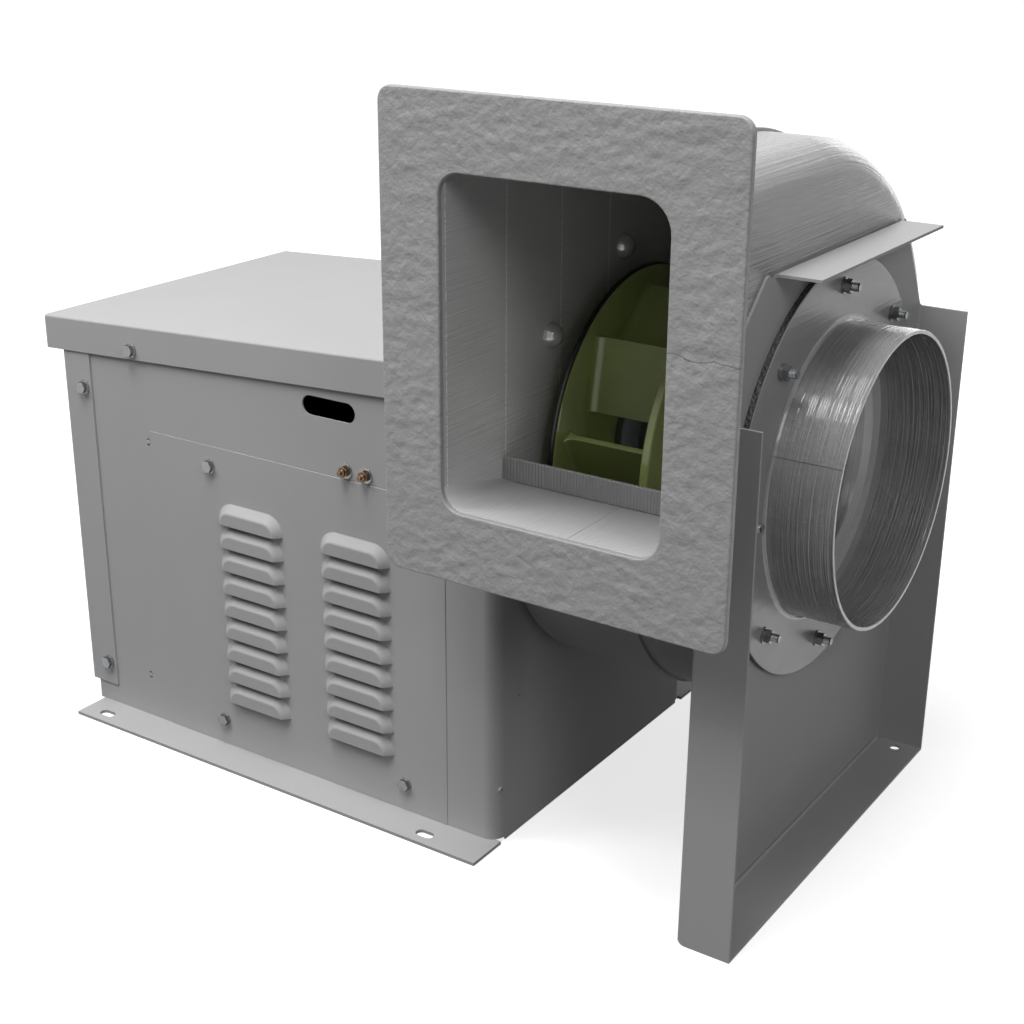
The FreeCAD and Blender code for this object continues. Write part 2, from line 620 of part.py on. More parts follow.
stand = new_body("bearing_stand")
STAND_LOW = "rail_high + pan_t"
STAND_TOP = "axis_z - block_high"
stand_outline = [("-stand_half - stand_foot", STAND_LOW), ("-stand_half", STAND_LOW)]
half_section = [("stand_half + stand_foot", STAND_LOW), ("stand_half + stand_foot", f"{STAND_LOW} + stand_t"),
                ("stand_half", f"{STAND_LOW} + stand_t"), ("stand_half", STAND_TOP)]
inner_section = [("stand_half - stand_t", f"{STAND_TOP} - stand_t"), ("stand_half - stand_t", STAND_LOW)]
left_side = [(f"axis_y - ({u})", v) for u, v in half_section]
right_side = [(f"axis_y + ({u})", v) for u, v in reversed(half_section)]
inside = [(f"axis_y + ({u})", v) for u, v in reversed(inner_section)]
inside += [(f"axis_y - ({u})", v) for u, v in inner_section]
pad(stand, polygon(stand, "stand_section", "YZ_Plane", left_side + right_side + inside, "stand_left"),
    "stand_right - stand_left")

for label, x in (("pillow_block_pulley", "block_a"), ("pillow_block_fan", "block_b")):
    left = f"{x} - 0.5 * block_wide"
    foot = box(f"{label}_foot", left, "axis_y - 0.5 * block_long", STAND_TOP,
               "block_wide", "block_long", "0.28 * block_high")
    post = box(f"{label}_post", left, "axis_y - block_r", STAND_TOP,
               "block_wide", "2 * block_r", "block_high")
    head = rod(f"{label}_head", "x", left, "axis_y", "axis_z", "block_r", "block_wide")
    bore = rod(f"{label}_bore", "x", f"{left} - 1", "axis_y", "axis_z", "shaft_r + fit",
               "block_wide + 2")
    keep(cut(label, fuse(f"{label}_casting", [foot, post, head]), bore), label)

turn("fan_shaft", [("shaft_left", "0"), ("shaft_right", "0"), ("shaft_right", "shaft_r - 1"),
                   ("shaft_right - 1", "shaft_r"), ("shaft_left + 1", "shaft_r"),
                   ("shaft_left", "shaft_r - 1")])

# Belt drive: two grooved pulleys and the belt, which stands just clear of the grooves.

def pulley(label, radius, bore, z):
    middle = "pulley_left + 0.5 * pulley_wide"
    groove = f"{radius} - groove_deep"
    half = "0.5 * groove_wide"
    turn(label, [("pulley_left", bore), ("pulley_left + pulley_wide", bore),
                 ("pulley_left + pulley_wide", radius), (f"{middle} + {half} + 2", radius),
                 (f"{middle} + {half}", groove), (f"{middle} - {half}", groove),
                 (f"{middle} - {half} - 2", radius), ("pulley_left", radius)], z=z)


pulley("fan_pulley", "pulley_fan_r", "shaft_r + 0.02", "axis_z")
pulley("motor_pulley", "pulley_motor_r", "motor_shaft_r + 0.02", "motor_z")


def belt_loop(top_r, low_r, top_z, low_z):
    """The outline of a belt round two pulleys, one above the other, about the shaft's Y."""
    lean = math.asin((top_r - low_r) / (top_z - low_z))
    start, stop = -lean, math.pi + lean

    def on_circle(r, z, angle):
        return vec(0, r * math.cos(angle), z + r * math.sin(angle))

    top = [on_circle(top_r, top_z, a) for a in (start, math.pi / 2, stop)]
    low = [on_circle(low_r, low_z, a) for a in (stop, 1.5 * math.pi, 2 * math.pi + start)]
    return Part.Wire([Part.Arc(*top).toShape(), Part.makeLine(top[2], low[0]),
                      Part.Arc(*low).toShape(), Part.makeLine(low[2], top[0])])


run_top = value("pulley_fan_r - groove_deep + belt_gap")
run_low = value("pulley_motor_r - groove_deep + belt_gap")
shafts = (value("axis_z"), value("motor_z"))
thick = value("belt_t")
ring = Part.Face(belt_loop(run_top + thick, run_low + thick, *shafts)).cut(
    Part.Face(belt_loop(run_top, run_low, *shafts)))
belt = formed("drive_belt", ring.extrude(vec(value("belt_wide"), 0, 0)))
belt.Placement.Base = vec(value("pulley_left + 0.5 * pulley_wide - 0.5 * belt_wide"), value("axis_y"), 0)
keep(belt, "drive_belt")

# Motor on its slide base: finned frame, end bells, feet and a shaft.

slide = box("slide_plate", "motor_left + 30", "axis_y - 0.5 * slide_wide", STAND_LOW, "slide_long", "slide_wide",
            f"motor_foot - ({STAND_LOW})")
keep(slide, "motor_slide_base")
frame = rod("motor_frame", "x", "motor_left + 26", "axis_y", "motor_z", "motor_r",
            "motor_right - motor_left - 66")
bell = rod("motor_bell", "x", "motor_left", "axis_y", "motor_z", "0.82 * motor_r",
           "motor_right - motor_left - 30")
cowl = rod("motor_cowl", "x", "motor_right - 40", "axis_y", "motor_z", "0.95 * motor_r", "40")
feet = box("motor_feet", "motor_left + 45", "axis_y - 0.5 * foot_wide", "motor_foot", "foot_long",
           "foot_wide", "12")
saddle = box("motor_saddle", "motor_left + 45", "axis_y - 50", "motor_foot", "foot_long", "100",
             "40")
wiring = box("motor_wiring_box", "motor_left + 70", "axis_y - motor_r - 22", "motor_z - 35",
             "70", "40", "70")
well = rod("motor_well", "x", "motor_left - 1", "axis_y", "motor_z", "motor_shaft_r + fit", "181")
keep(cut("motor", fuse("motor_casting", [frame, bell, cowl, feet, saddle, wiring]), well), "motor")
keep(rod("motor_spindle", "x", "pulley_left - 4", "axis_y", "motor_z", "motor_shaft_r",
         "motor_left + 170 - pulley_left"), "motor_shaft")

# Scroll: a volute of quarter circles whose radius drops by the same step each quarter, with the outlet
# duct on top. The two mouldings meet at the seam, and the inlet wall has a wide rounded edge.

def volute(inset, mouth):
    """The scroll's outline across the shaft, moved inwards by a wall, as a face at X = 0."""
    top, back, low, front = (value(f"{name}") - inset
                             for name in ("case_top", "case_back", "case_low", "case_front"))
    step = (top + low - back - front) / 2
    radii = [(top + low + step) / 2 - i * step for i in range(3)]
    y = value("axis_y") + (back - front - 3 * step) / 2
    z = value("axis_z") + (top - low - step) / 2
    centres = [(y, z), (y + step, z), (y + step, z - step)]
    bends = []
    for i, ((cy, cz), r) in enumerate(zip(centres, radii)):
        angles = [math.pi / 2 - (i + k / 2) * math.pi / 2 for k in range(3)]
        bends.append([vec(0, cy + r * math.cos(a), cz + r * math.sin(a)) for a in angles])
    floor = value("axis_z + case_floor") + inset
    tip_r = value("tongue_r") + inset
    tip_y = bends[2][2].y
    tip = vec(0, tip_y - tip_r, floor - tip_r)
    slant = tip_r * math.sqrt(0.5)
    tongue = [vec(0, tip_y, tip.z), tip + vec(0, slant, slant), vec(0, tip.y, floor)]
    roof = z + radii[0]
    edges = [Part.makeLine(vec(0, mouth, roof), bends[0][0])]
    edges += [Part.Arc(*bend).toShape() for bend in bends]
    edges += [Part.makeLine(bends[2][2], tongue[0]), Part.Arc(*tongue).toShape(),
              Part.makeLine(tongue[2], vec(0, mouth, floor)),
              Part.makeLine(vec(0, mouth, floor), vec(0, mouth, roof))]
    return Part.Face(Part.Wire(edges))


def moulding(inset, left, right, mouth, rounding):
    """The volute between two places along the shaft, with its edge at the inlet wall rounded."""
    solid = volute(inset, mouth).extrude(vec(right - left, 0, 0))
    solid.translate(vec(left, 0, 0))
    if rounding:
        edges = [edge for edge in solid.Edges if abs(edge.CenterOfMass.x - right) < 0.01
                 and all(abs(vertex.X - right) < 0.01 for vertex in edge.Vertexes)
                 and abs(edge.CenterOfMass.y - mouth) > 0.01]
        solid = solid.makeFillet(rounding, edges)
    return solid


def disc(x, radius, length):
    return Part.makeCylinder(radius, length, vec(x, value("axis_y"), value("axis_z")), vec(1, 0, 0))


wall = value("case_t")
case_left, case_seam, case_right = (value(f"case_{name}") for name in ("left", "seam", "right"))
mouth_y = value("mouth_y")
outside = moulding(0, case_left, case_seam, mouth_y, 0)
hollow = moulding(wall, case_left + wall, case_seam + 1, mouth_y - 1, 0)
domes = []
for i in range(int(value("dome_count"))):
    angle = math.radians(value("dome_start") + 360 * i / value("dome_count"))
    place = vec(case_left + wall, value("axis_y") + value("dome_circle") * math.cos(angle),
                value("axis_z") + value("dome_circle") * math.sin(angle))
    domes.append(Part.makeSphere(value("dome_r"), place, vec(1, 0, 0), 0, 90, 360))
seam_rim = moulding(-value("seam_high"), case_seam - value("seam_wide"), case_seam, mouth_y, 0)
main = outside.fuse(seam_rim).cut(hollow).fuse(domes)
main = main.cut(disc(case_left - 1, value("shaft_r + 5"), 2 * wall))
keep(formed("scroll_housing", main.removeSplitter()), "scroll_housing")

ROUNDING = "case_round_share * (case_right - case_seam)"
rounding = value(ROUNDING)
cover = moulding(0, case_seam, case_right, mouth_y, rounding)
cover_hollow = moulding(wall, case_seam - 1, case_right - wall, mouth_y - 1, rounding - wall)
cover = cover.cut(cover_hollow).cut(disc(case_right - 2 * wall, value("inlet_hole_r"), 4 * wall))
keep(formed("scroll_inlet_half", cover.removeSplitter()), "scroll_inlet_half")

flange = new_body("discharge_flange")
pad(flange, rectangle(flange, "flange_outline", "XZ_Plane", ("flange_left", "flange_low"),
                      ("flange_right", "flange_top"), "mouth_y - flange_t"), "flange_t")
round_edges(flange, "flange_r", lambda edge: runs_along(edge, "y"))
pocket(flange, rectangle(flange, "flange_opening", "XZ_Plane",
                         ("case_left + case_t", "axis_z + case_floor + case_t"),
                         ("case_right - case_t", "mouth_top"),
                         "mouth_y - flange_t - 1"), "flange_t + 2")
opening_sides = [value("case_left + case_t"), value("case_right - case_t")]
round_edges(flange, "mouth_r", lambda edge: runs_along(edge, "y")
            and min(abs(edge.CenterOfMass.x - side) for side in opening_sides) < 0.1)

# The cutoff plate follows the rounded inside corner of the duct, a little clear of it.

cutoff = new_body("cutoff_plate")
BEND = f"({ROUNDING} - case_t - 0.2)"
CUTOFF_LOW = "axis_z + case_floor + case_t"
corner = [(f"case_right - {ROUNDING} + {BEND} * sin({angle})",
           f"{CUTOFF_LOW} - case_t + {ROUNDING} - {BEND} * cos({angle})") for angle in (0, 24, 48)]
top_right = f"case_right - {ROUNDING} + {BEND} * sin(66)"
pad(cutoff, polygon(cutoff, "cutoff_face", "XZ_Plane",
                    [("case_left + case_t", CUTOFF_LOW)] + corner
                    + [(top_right, f"{CUTOFF_LOW} + cutoff_high"),
                       ("case_left + case_t", f"{CUTOFF_LOW} + cutoff_high")],
                    "cutoff_y - 3 * cutoff_t"), "cutoff_t")

turn("mounting_ring", [("box_right", "ring_bore"), ("case_left", "ring_bore"),
                       ("case_left", "ring_r"), ("box_right", "ring_r")])
turn("shaft_seal", [("case_left - seal_t", "shaft_r + 0.5"), ("case_left", "shaft_r + 0.5"),
                    ("case_left", "seal_r"), ("case_left - seal_t", "seal_r - 2")])

# Wheel: back disc, flat blades that lag the hub, and a dished shroud with the inlet eye.

def ring_of(points):
    """A solid of revolution about the shaft from X and radius pairs."""
    spots = [vec(x, value("axis_y"), value("axis_z") + r) for x, r in points]
    face = Part.Face(Part.makePolygon(spots + spots[:1]))
    return face.revolve(vec(0, value("axis_y"), value("axis_z")), vec(1, 0, 0), 360)


disc_face = value("wheel_left + wheel_disc")
rim, eye = value("wheel_r"), value("eye_r")
edge_x, eye_x, skin = (value(name) for name in ("shroud_edge", "wheel_right", "shroud_t"))
shroud_side = [(eye_x, eye), (eye_x - 14, eye + 3), (edge_x + 10, rim - 26), (edge_x, rim)]
shroud = ring_of(shroud_side + [(x + skin * 0.35, r + skin * 0.9) if r < rim else (x + skin * 1.8, r)
                                for x, r in reversed(shroud_side)])
blade_zone = ring_of([(disc_face - 1, 20), (disc_face - 1, rim), (edge_x + 1, rim),
                      (edge_x + 11, rim - 25.6), (eye_x - 13, eye + 3.4), (eye_x - 13, 20)])
blades = []
count = int(value("blade_count"))
for i in range(count):
    spin = math.radians(value("blade_start") + 360 * i / count)
    ends = []
    for radius, angle in ((value("blade_in_r"), spin),
                          (value("blade_out_r"), spin - math.radians(value("blade_sweep")))):
        ends.append(vec(disc_face - 2, value("axis_y") + radius * math.cos(angle),
                        value("axis_z") + radius * math.sin(angle)))
    along = (ends[1] - ends[0]).normalize()
    across = vec(1, 0, 0).cross(along) * (value("blade_t") / 2)
    corners = [ends[0] - across, ends[1] - across, ends[1] + across, ends[0] + across]
    plate = Part.Face(Part.makePolygon(corners + corners[:1])).extrude(vec(eye_x - disc_face, 0, 0))
    blades.append(plate.common(blade_zone))
back = ring_of([(value("wheel_left"), value("shaft_r") + 4), (disc_face, value("shaft_r") + 4),
                (disc_face, rim), (value("wheel_left"), rim)])
keep(formed("impeller_wheel", back.fuse(blades + [shroud]).removeSplitter()), "impeller_wheel")
turn("impeller_hub", [("wheel_left + wheel_disc", "shaft_r + 0.02"), ("hub_right", "shaft_r + 0.02"),
                      ("hub_right", "hub_r - 12"), ("wheel_left + wheel_disc + 14", "hub_r - 10"),
                      ("wheel_left + wheel_disc + 8", "hub_r + 16"),
                      ("wheel_left + wheel_disc", "hub_r + 16")])

# Inlet side: pressed stand, round plate, wound collar, studs and the inlet cone.

stay = new_body("inlet_stand")
pad(stay, polygon(stay, "stay_web", "YZ_Plane", [
    ("-stay_half", "0"), ("stay_half", "0"), ("stay_half", "stay_side"),
    ("stay_top_right", "stay_top"), ("stay_top_left", "stay_top"), ("-stay_half", "stay_side")],
    "case_right"), "stay_t")
web_corners = value("stay_top")
round_edges(stay, "stay_round", lambda edge: runs_along(edge, "x") and near(edge, z=web_corners))
STAY_FACE = "case_right + stay_t"
for name, low, high, deep in (
        ("stay_front", ("-stay_half", "0"), ("-stay_half + stay_t", "stay_side"), "stay_deep"),
        ("stay_rear", ("stay_half - stay_t", "0"), ("stay_half", "stay_side"), "stay_deep"),
        ("stay_foot", ("-stay_half", "0"), ("stay_half", "stay_t"), "stay_deep"),
        ("stay_ledge", ("ledge_left", "stay_top - stay_t"), ("ledge_right", "stay_top"), "ledge_deep")):
    pad(stay, rectangle(stay, name, "YZ_Plane", low, high, STAY_FACE), deep)
pocket(stay, circles(stay, "stay_inlet", "YZ_Plane", [("axis_y", "axis_z")], "inlet_hole_r",
                     "case_right - 1"), "stay_t + 2")
pocket(stay, circles(stay, "stay_holes", "XY_Plane",
                     [("stay_hole_x", f"{side} * (stay_half - stay_hole_in)") for side in ("-1", "1")],
                     "stay_hole_r", "-1"), "stay_t + 2")

plate = new_body("inlet_plate")
pad(plate, circles(plate, "plate_outline", "YZ_Plane", [("0", "0")], "plate_r"), "plate_t")
pocket(plate, circles(plate, "plate_bore", "YZ_Plane", [("0", "0")], "collar_r - collar_t", "-1"),
       "plate_t + 2")
stud_hole = pocket(plate, circles(plate, "plate_stud_hole", "YZ_Plane", [("0", "stud_circle")],
                                  "stud_hole_r", "-1"), "plate_t + 2")
around = plate.newObject("PartDesign::PolarPattern", "plate_stud_holes")
around.Originals = [stud_hole]
around.Axis = (stud_hole.Profile[0], ["N_Axis"])
around.Angle = 360
around.Occurrences = int(value("stud_count"))
plate.Tip = around
bind(plate, Placement__Base__x=STAY_FACE, Placement__Base__y="axis_y", Placement__Base__z="axis_z")

PLATE_FACE = "case_right + stay_t + plate_t"
turn("inlet_collar", [(PLATE_FACE, "collar_r - collar_t"), ("collar_right", "collar_r - collar_t"),
                      ("collar_right", "collar_r"), (f"{PLATE_FACE} + root_r", "collar_r"),
                      (f"{PLATE_FACE} + 0.3 * root_r", "collar_r + 0.3 * root_r"),
                      (PLATE_FACE, "collar_r + root_r")])

CONE_FACE = "case_right + stay_t"
turn("inlet_cone", [(CONE_FACE, "cone_r"), (CONE_FACE, "cone_flat_r"),
                    (f"{CONE_FACE} - 6", "cone_throat_r + 7"), (f"{CONE_FACE} - 20", "cone_throat_r + 1"),
                    (f"{CONE_FACE} - 34", "cone_throat_r"), ("cone_left", "cone_throat_r"),
                    ("cone_left", "cone_throat_r + cone_t"),
                    (f"{CONE_FACE} - 34", "cone_throat_r + cone_t"),
                    (f"{CONE_FACE} - 22", "cone_throat_r + cone_t + 1"),
                    (f"{CONE_FACE} - 9", "cone_throat_r + cone_t + 7"),
                    (f"{CONE_FACE} - cone_t", "cone_flat_r + cone_t"), (f"{CONE_FACE} - cone_t", "cone_r")])

for i in range(int(value("stud_count"))):
    angle = f"{360 * i / value('stud_count')}"
    label = f"inlet_stud_{i + 1}"
    y = f"axis_y + stud_circle * cos({angle})"
    z = f"axis_z + stud_circle * sin({angle})"
    keep(fuse(label, [
        rod(f"{label}_rod", "x", STAY_FACE, y, z, "stud_r", "stud_long"),
        rod(f"{label}_washer", "x", PLATE_FACE, y, z, "washer_r", "washer_t"),
        rod(f"{label}_lock", "x", f"{PLATE_FACE} + washer_t", y, z, "washer_r - 2", "washer_t"),
        hexagon(f"{label}_nut", "x", f"{PLATE_FACE} + 2 * washer_t", y, z, "bolt_hex", "bolt_high")]),
        label)

doc.recompute()
for thing in doc.Objects:
    if "Invalid" in thing.State or "Error" in thing.State:
        raise RuntimeError(f"{thing.Label}: {thing.State}")
for thing in nodes:
    if thing.Shape.isNull() or not thing.Shape.isValid():
        raise RuntimeError(f"{thing.Label}: no valid shape")
for thing in nodes:
    thing.Shape.exportStep(f"parts/{thing.Label}.step")
print(len(nodes), "pieces")
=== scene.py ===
import math

import bmesh
import bpy
from mathutils import Matrix, Vector, noise


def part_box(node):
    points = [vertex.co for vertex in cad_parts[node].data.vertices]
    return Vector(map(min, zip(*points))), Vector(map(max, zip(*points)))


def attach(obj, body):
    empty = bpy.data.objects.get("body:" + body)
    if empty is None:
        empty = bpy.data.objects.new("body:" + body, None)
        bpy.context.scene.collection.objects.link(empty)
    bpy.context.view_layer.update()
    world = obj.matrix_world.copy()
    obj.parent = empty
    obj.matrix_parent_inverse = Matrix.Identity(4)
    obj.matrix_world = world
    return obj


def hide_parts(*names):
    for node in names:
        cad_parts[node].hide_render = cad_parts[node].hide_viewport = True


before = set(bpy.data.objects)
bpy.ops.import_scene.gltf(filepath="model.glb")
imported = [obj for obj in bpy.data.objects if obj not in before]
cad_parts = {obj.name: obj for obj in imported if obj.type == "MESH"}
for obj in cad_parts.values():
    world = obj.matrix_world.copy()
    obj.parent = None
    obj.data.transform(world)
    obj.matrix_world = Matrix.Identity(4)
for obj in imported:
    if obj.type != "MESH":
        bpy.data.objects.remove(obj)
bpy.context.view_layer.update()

scene = bpy.context.scene
scene.view_settings.view_transform = "Standard"


# Camera: a product shot from the front right, a little above the lid, with a mild tele lens.
# The blower fills the square frame, and the camera is rolled by a third of a degree.
FRAME_PX, FOCAL_PX, SENSOR_MM, FAR_CLIP = 1024, 1652.5, 36, 50
CAMERA_AT = Vector((1.1889, -1.4823, 0.9828))
AZIMUTH, ELEVATION, ROLL = [math.radians(angle) for angle in (33.75, 21.11, 0.32)]
back = Vector((math.sin(AZIMUTH) * math.cos(ELEVATION), -math.cos(AZIMUTH) * math.cos(ELEVATION),
               math.sin(ELEVATION)))
level = Vector((math.cos(AZIMUTH), math.sin(AZIMUTH), 0))
upright = back.cross(level)
right = math.cos(ROLL) * level + math.sin(ROLL) * upright
above = math.cos(ROLL) * upright - math.sin(ROLL) * level
lens = bpy.data.cameras.new("photo_camera")
lens.sensor_fit = "HORIZONTAL"
lens.sensor_width = SENSOR_MM
lens.lens = SENSOR_MM * FOCAL_PX / FRAME_PX
lens.clip_end = FAR_CLIP
camera = bpy.data.objects.new("photo_camera", lens)
camera.matrix_world = Matrix.Translation(CAMERA_AT) @ Matrix((right, above, back)).transposed().to_4x4()
scene.collection.objects.link(camera)
scene.camera = camera


# Studio: a white paper sweep under a broad soft box, with smaller ones in front, behind and at the sides.
# Eye and mirror rays see the paper white; it throws little light back, so undersides stay dark.
WHITE, PAPER_LIT, PAPER_DULL = (1, 1, 1, 1), (0.5, 0.5, 0.5, 1), (0.09, 0.09, 0.09, 1)
FILL_STRENGTH, GLOW_NEAR, GLOW_FAR, NEAR_M, FAR_M = 0.14, 0.74, 1.0, 0.5, 1.9
FLOOR_HALF, STUDIO_MIDDLE = 12, Vector((0.15, 0, 0.35))


def add(tree, kind, inputs=None, **settings):
    """Add one node to a tree, set it up, and link or set its inputs."""
    item = tree.nodes.new(kind)
    for name, setting in settings.items():
        setattr(item, name, setting)
    for socket, source in (inputs or {}).items():
        if isinstance(source, bpy.types.NodeSocket):
            tree.links.new(source, item.inputs[socket])
        else:
            item.inputs[socket].default_value = source
    return item


def reckon(tree, operation, *values):
    """One step of arithmetic on sockets and numbers."""
    return add(tree, "ShaderNodeMath", dict(enumerate(values)), operation=operation).outputs[0]


def ramp(tree, value, start, stop, low=0.0, high=1.0):
    """Carry a value from one range over to another, and hold it at the ends."""
    return add(tree, "ShaderNodeMapRange", {"Value": value, "From Min": start, "From Max": stop,
                                            "To Min": low, "To Max": high}).outputs[0]


def seen_directly(tree):
    """1 for rays from the eye, a mirror or glass, and 0 for light that only fills in."""
    path = add(tree, "ShaderNodeLightPath").outputs
    mirror = reckon(tree, "MAXIMUM", path["Is Glossy Ray"], path["Is Transmission Ray"])
    return reckon(tree, "MAXIMUM", path["Is Camera Ray"], mirror)


world = bpy.data.worlds.new("studio")
world.use_nodes = True
tree = world.node_tree
tree.nodes.clear()
fill = add(tree, "ShaderNodeBackground", {"Color": WHITE, "Strength": FILL_STRENGTH})
white = add(tree, "ShaderNodeBackground", {"Color": WHITE, "Strength": 1.0})
mixed = add(tree, "ShaderNodeMixShader", {0: seen_directly(tree), 1: fill.outputs[0], 2: white.outputs[0]})
add(tree, "ShaderNodeOutputWorld", {"Surface": mixed.outputs[0]})
scene.world = world

# Paper: white to the eye, but less bright round the blower, so that its soft shadow shows.
paper = bpy.data.materials.new("white_paper")
paper.use_nodes = True
tree = paper.node_tree
tree.nodes.clear()
away = add(tree, "ShaderNodeVectorMath", {0: add(tree, "ShaderNodeTexCoord").outputs["Object"]},
           operation="LENGTH")
glow = ramp(tree, away.outputs["Value"], NEAR_M, FAR_M, GLOW_NEAR, GLOW_FAR)
lit = add(tree, "ShaderNodeBsdfDiffuse", {"Color": PAPER_LIT})
dull = add(tree, "ShaderNodeBsdfDiffuse", {"Color": PAPER_DULL})
pale = add(tree, "ShaderNodeEmission", {"Color": WHITE, "Strength": glow})
bright = add(tree, "ShaderNodeAddShader", {0: lit.outputs[0], 1: pale.outputs[0]})
mixed = add(tree, "ShaderNodeMixShader", {0: seen_directly(tree), 1: dull.outputs[0], 2: bright.outputs[0]})
add(tree, "ShaderNodeOutputMaterial", {"Surface": mixed.outputs[0]})
sweep = bmesh.new()
bmesh.ops.create_grid(sweep, x_segments=1, y_segments=1, size=FLOOR_HALF)
floor_mesh = bpy.data.meshes.new("floor")
sweep.to_mesh(floor_mesh)
sweep.free()
floor_mesh.materials.append(paper)
floor = bpy.data.objects.new("floor", floor_mesh)
scene.collection.objects.link(floor)


def lamp(name, towards, distance, size, watts):
    """A square soft lamp that faces the middle of the blower from a given direction."""
    data = bpy.data.lights.new(name, "AREA")
    data.size = size
    data.energy = watts
    item = bpy.data.objects.new(name, data)
    direction = Vector(towards).normalized()
    item.location = STUDIO_MIDDLE + direction * distance
    item.rotation_euler = direction.to_track_quat("Z", "Y").to_euler()
    scene.collection.objects.link(item)


lamp("front_soft_box", (0.05, -0.50, 0.86), distance=3.2, size=0.9, watts=28)
lamp("left_soft_box", (-0.52, -0.55, 0.65), distance=3.2, size=1.2, watts=30)
lamp("overhead_soft_box", (-0.05, -0.20, 0.97), distance=3.2, size=1.7, watts=72)
lamp("inlet_side_box", (0.72, -0.48, 0.50), distance=3.5, size=0.9, watts=15)
lamp("rear_soft_box", (0.0, 0.97, 0.22), distance=3.4, size=1.4, watts=8)


# Base rails and pan: two zee rails bent from 4 mm steel, with slotted feet, and the pan across them.
# They carry the cabinet's light grey powder coat, a cured film with soft gloss and fine orange peel.
MM, WELD_MM, FLAT_DEGREES = 0.001, 0.001, 0.2


def linear(code):
    """An sRGB hex colour as linear red, green, blue and alpha."""
    parts = [int(code[i:i + 2], 16) / 255 for i in (1, 3, 5)]
    return [c / 12.92 if c <= 0.04045 else ((c + 0.055) / 1.055) ** 2.4 for c in parts] + [1.0]


def surface(name, colour, roughness, metallic=0.0, specular=0.5):
    """A new material with one shader, and its tree for the nodes that shape it."""
    material = bpy.data.materials.new(name)
    material.use_nodes = True
    nodes = material.node_tree
    shader = nodes.nodes["Principled BSDF"]
    shader.inputs["Base Color"].default_value = linear(colour)
    shader.inputs["Roughness"].default_value = roughness
    shader.inputs["Metallic"].default_value = metallic
    shader.inputs["Specular IOR Level"].default_value = specular
    return material, nodes, shader


def places(nodes):
    """Places on a piece in metres, so that patterns have real sizes."""
    return add(nodes, "ShaderNodeTexCoord").outputs["Object"]


def grain(nodes, place, size_mm, detail, roughness=0.5):
    """Noise with lumps of a real size, from 0 to 1."""
    return add(nodes, "ShaderNodeTexNoise", {"Vector": place, "Scale": 1 / (size_mm * MM), "Detail": detail,
                                             "Roughness": roughness}).outputs["Fac"]


def blend(nodes, share, first, second):
    """A mix of two colours, with a share of the second from 0 to 1."""
    return add(nodes, "ShaderNodeMix", {0: share, 6: first, 7: second}, data_type="RGBA").outputs[2]


def mottle(nodes, shader, place, light, dark, size_mm, detail=4.0):
    """Let the colour drift softly between two shades, over patches of a real size."""
    cloud = grain(nodes, place, size_mm, detail)
    nodes.links.new(blend(nodes, cloud, linear(dark), linear(light)), shader.inputs["Base Color"])


def emboss(nodes, shader, height, strength, depth_mm):
    """Raise a fine relief from a height of 0 to 1, on top of any that the surface has."""
    bump = add(nodes, "ShaderNodeBump", {"Height": height, "Strength": strength, "Distance": depth_mm * MM})
    normal = shader.inputs["Normal"]
    if normal.is_linked:
        nodes.links.new(normal.links[0].from_socket, bump.inputs["Normal"])
    nodes.links.new(bump.outputs[0], normal)


def powder_coat(name, light, dark):
    """Powder-coated steel: an even grey with faint clouds, and an orange-peel skin in its soft gloss."""
    material, nodes, shader = surface(name, light, roughness=0.55, specular=0.2)
    place = places(nodes)
    mottle(nodes, shader, place, light, dark, size_mm=90)
    emboss(nodes, shader, grain(nodes, place, size_mm=1.6, detail=2.0), strength=0.1, depth_mm=0.4)
    return material


def piece(name, mesh, materials, body, replaces=()):
    """Turn a finished bmesh into an object that rides on a body."""
    data = bpy.data.meshes.new(name)
    mesh.to_mesh(data)
    mesh.free()
    for material in materials:
        data.materials.append(material)
    thing = bpy.data.objects.new(name, data)
    scene.collection.objects.link(thing)
    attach(thing, body)
    if replaces:
        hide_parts(*replaces)
    return thing


def soften(thing, edge_mm=0, turn=30):
    """Smooth shading, with a small radius, if any, on every edge sharper than a given turn in degrees."""
    for face in thing.data.polygons:
        face.use_smooth = True
    thing.data.set_sharp_from_angle(angle=math.radians(turn))
    if edge_mm:
        bevel = thing.modifiers.new("edge_radius", "BEVEL")
        bevel.width = edge_mm * MM
        bevel.segments = 2
        bevel.limit_method = "ANGLE"
        bevel.angle_limit = math.radians(turn)
        bevel.use_clamp_overlap = True
    flats = thing.modifiers.new("flats_stay_flat", "WEIGHTED_NORMAL")
    flats.keep_sharp = True


def merged(node):
    """A copy of a CAD node's mesh with its triangles joined up and its flats made whole."""
    mesh = bmesh.new()
    mesh.from_mesh(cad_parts[node].data)
    bmesh.ops.remove_doubles(mesh, verts=mesh.verts, dist=WELD_MM * MM)
    bmesh.ops.dissolve_limit(mesh, angle_limit=math.radians(FLAT_DEGREES), verts=mesh.verts,
                             edges=mesh.edges)
    return mesh


def dressed(node, material, edge_mm=0.6, body="cabinet", turn=30):
    """A merged copy of a CAD node with softened edges, in the node's place."""
    soften(piece(f"{node}_finish", merged(node), [material], body, [node]), edge_mm, turn)


cabinet_coat = powder_coat("grey_powder_coat", "#b3b3b3", "#aeaeae")
for node in ("base_rail_front", "base_rail_rear", "base_pan"):
    dressed(node, cabinet_coat)


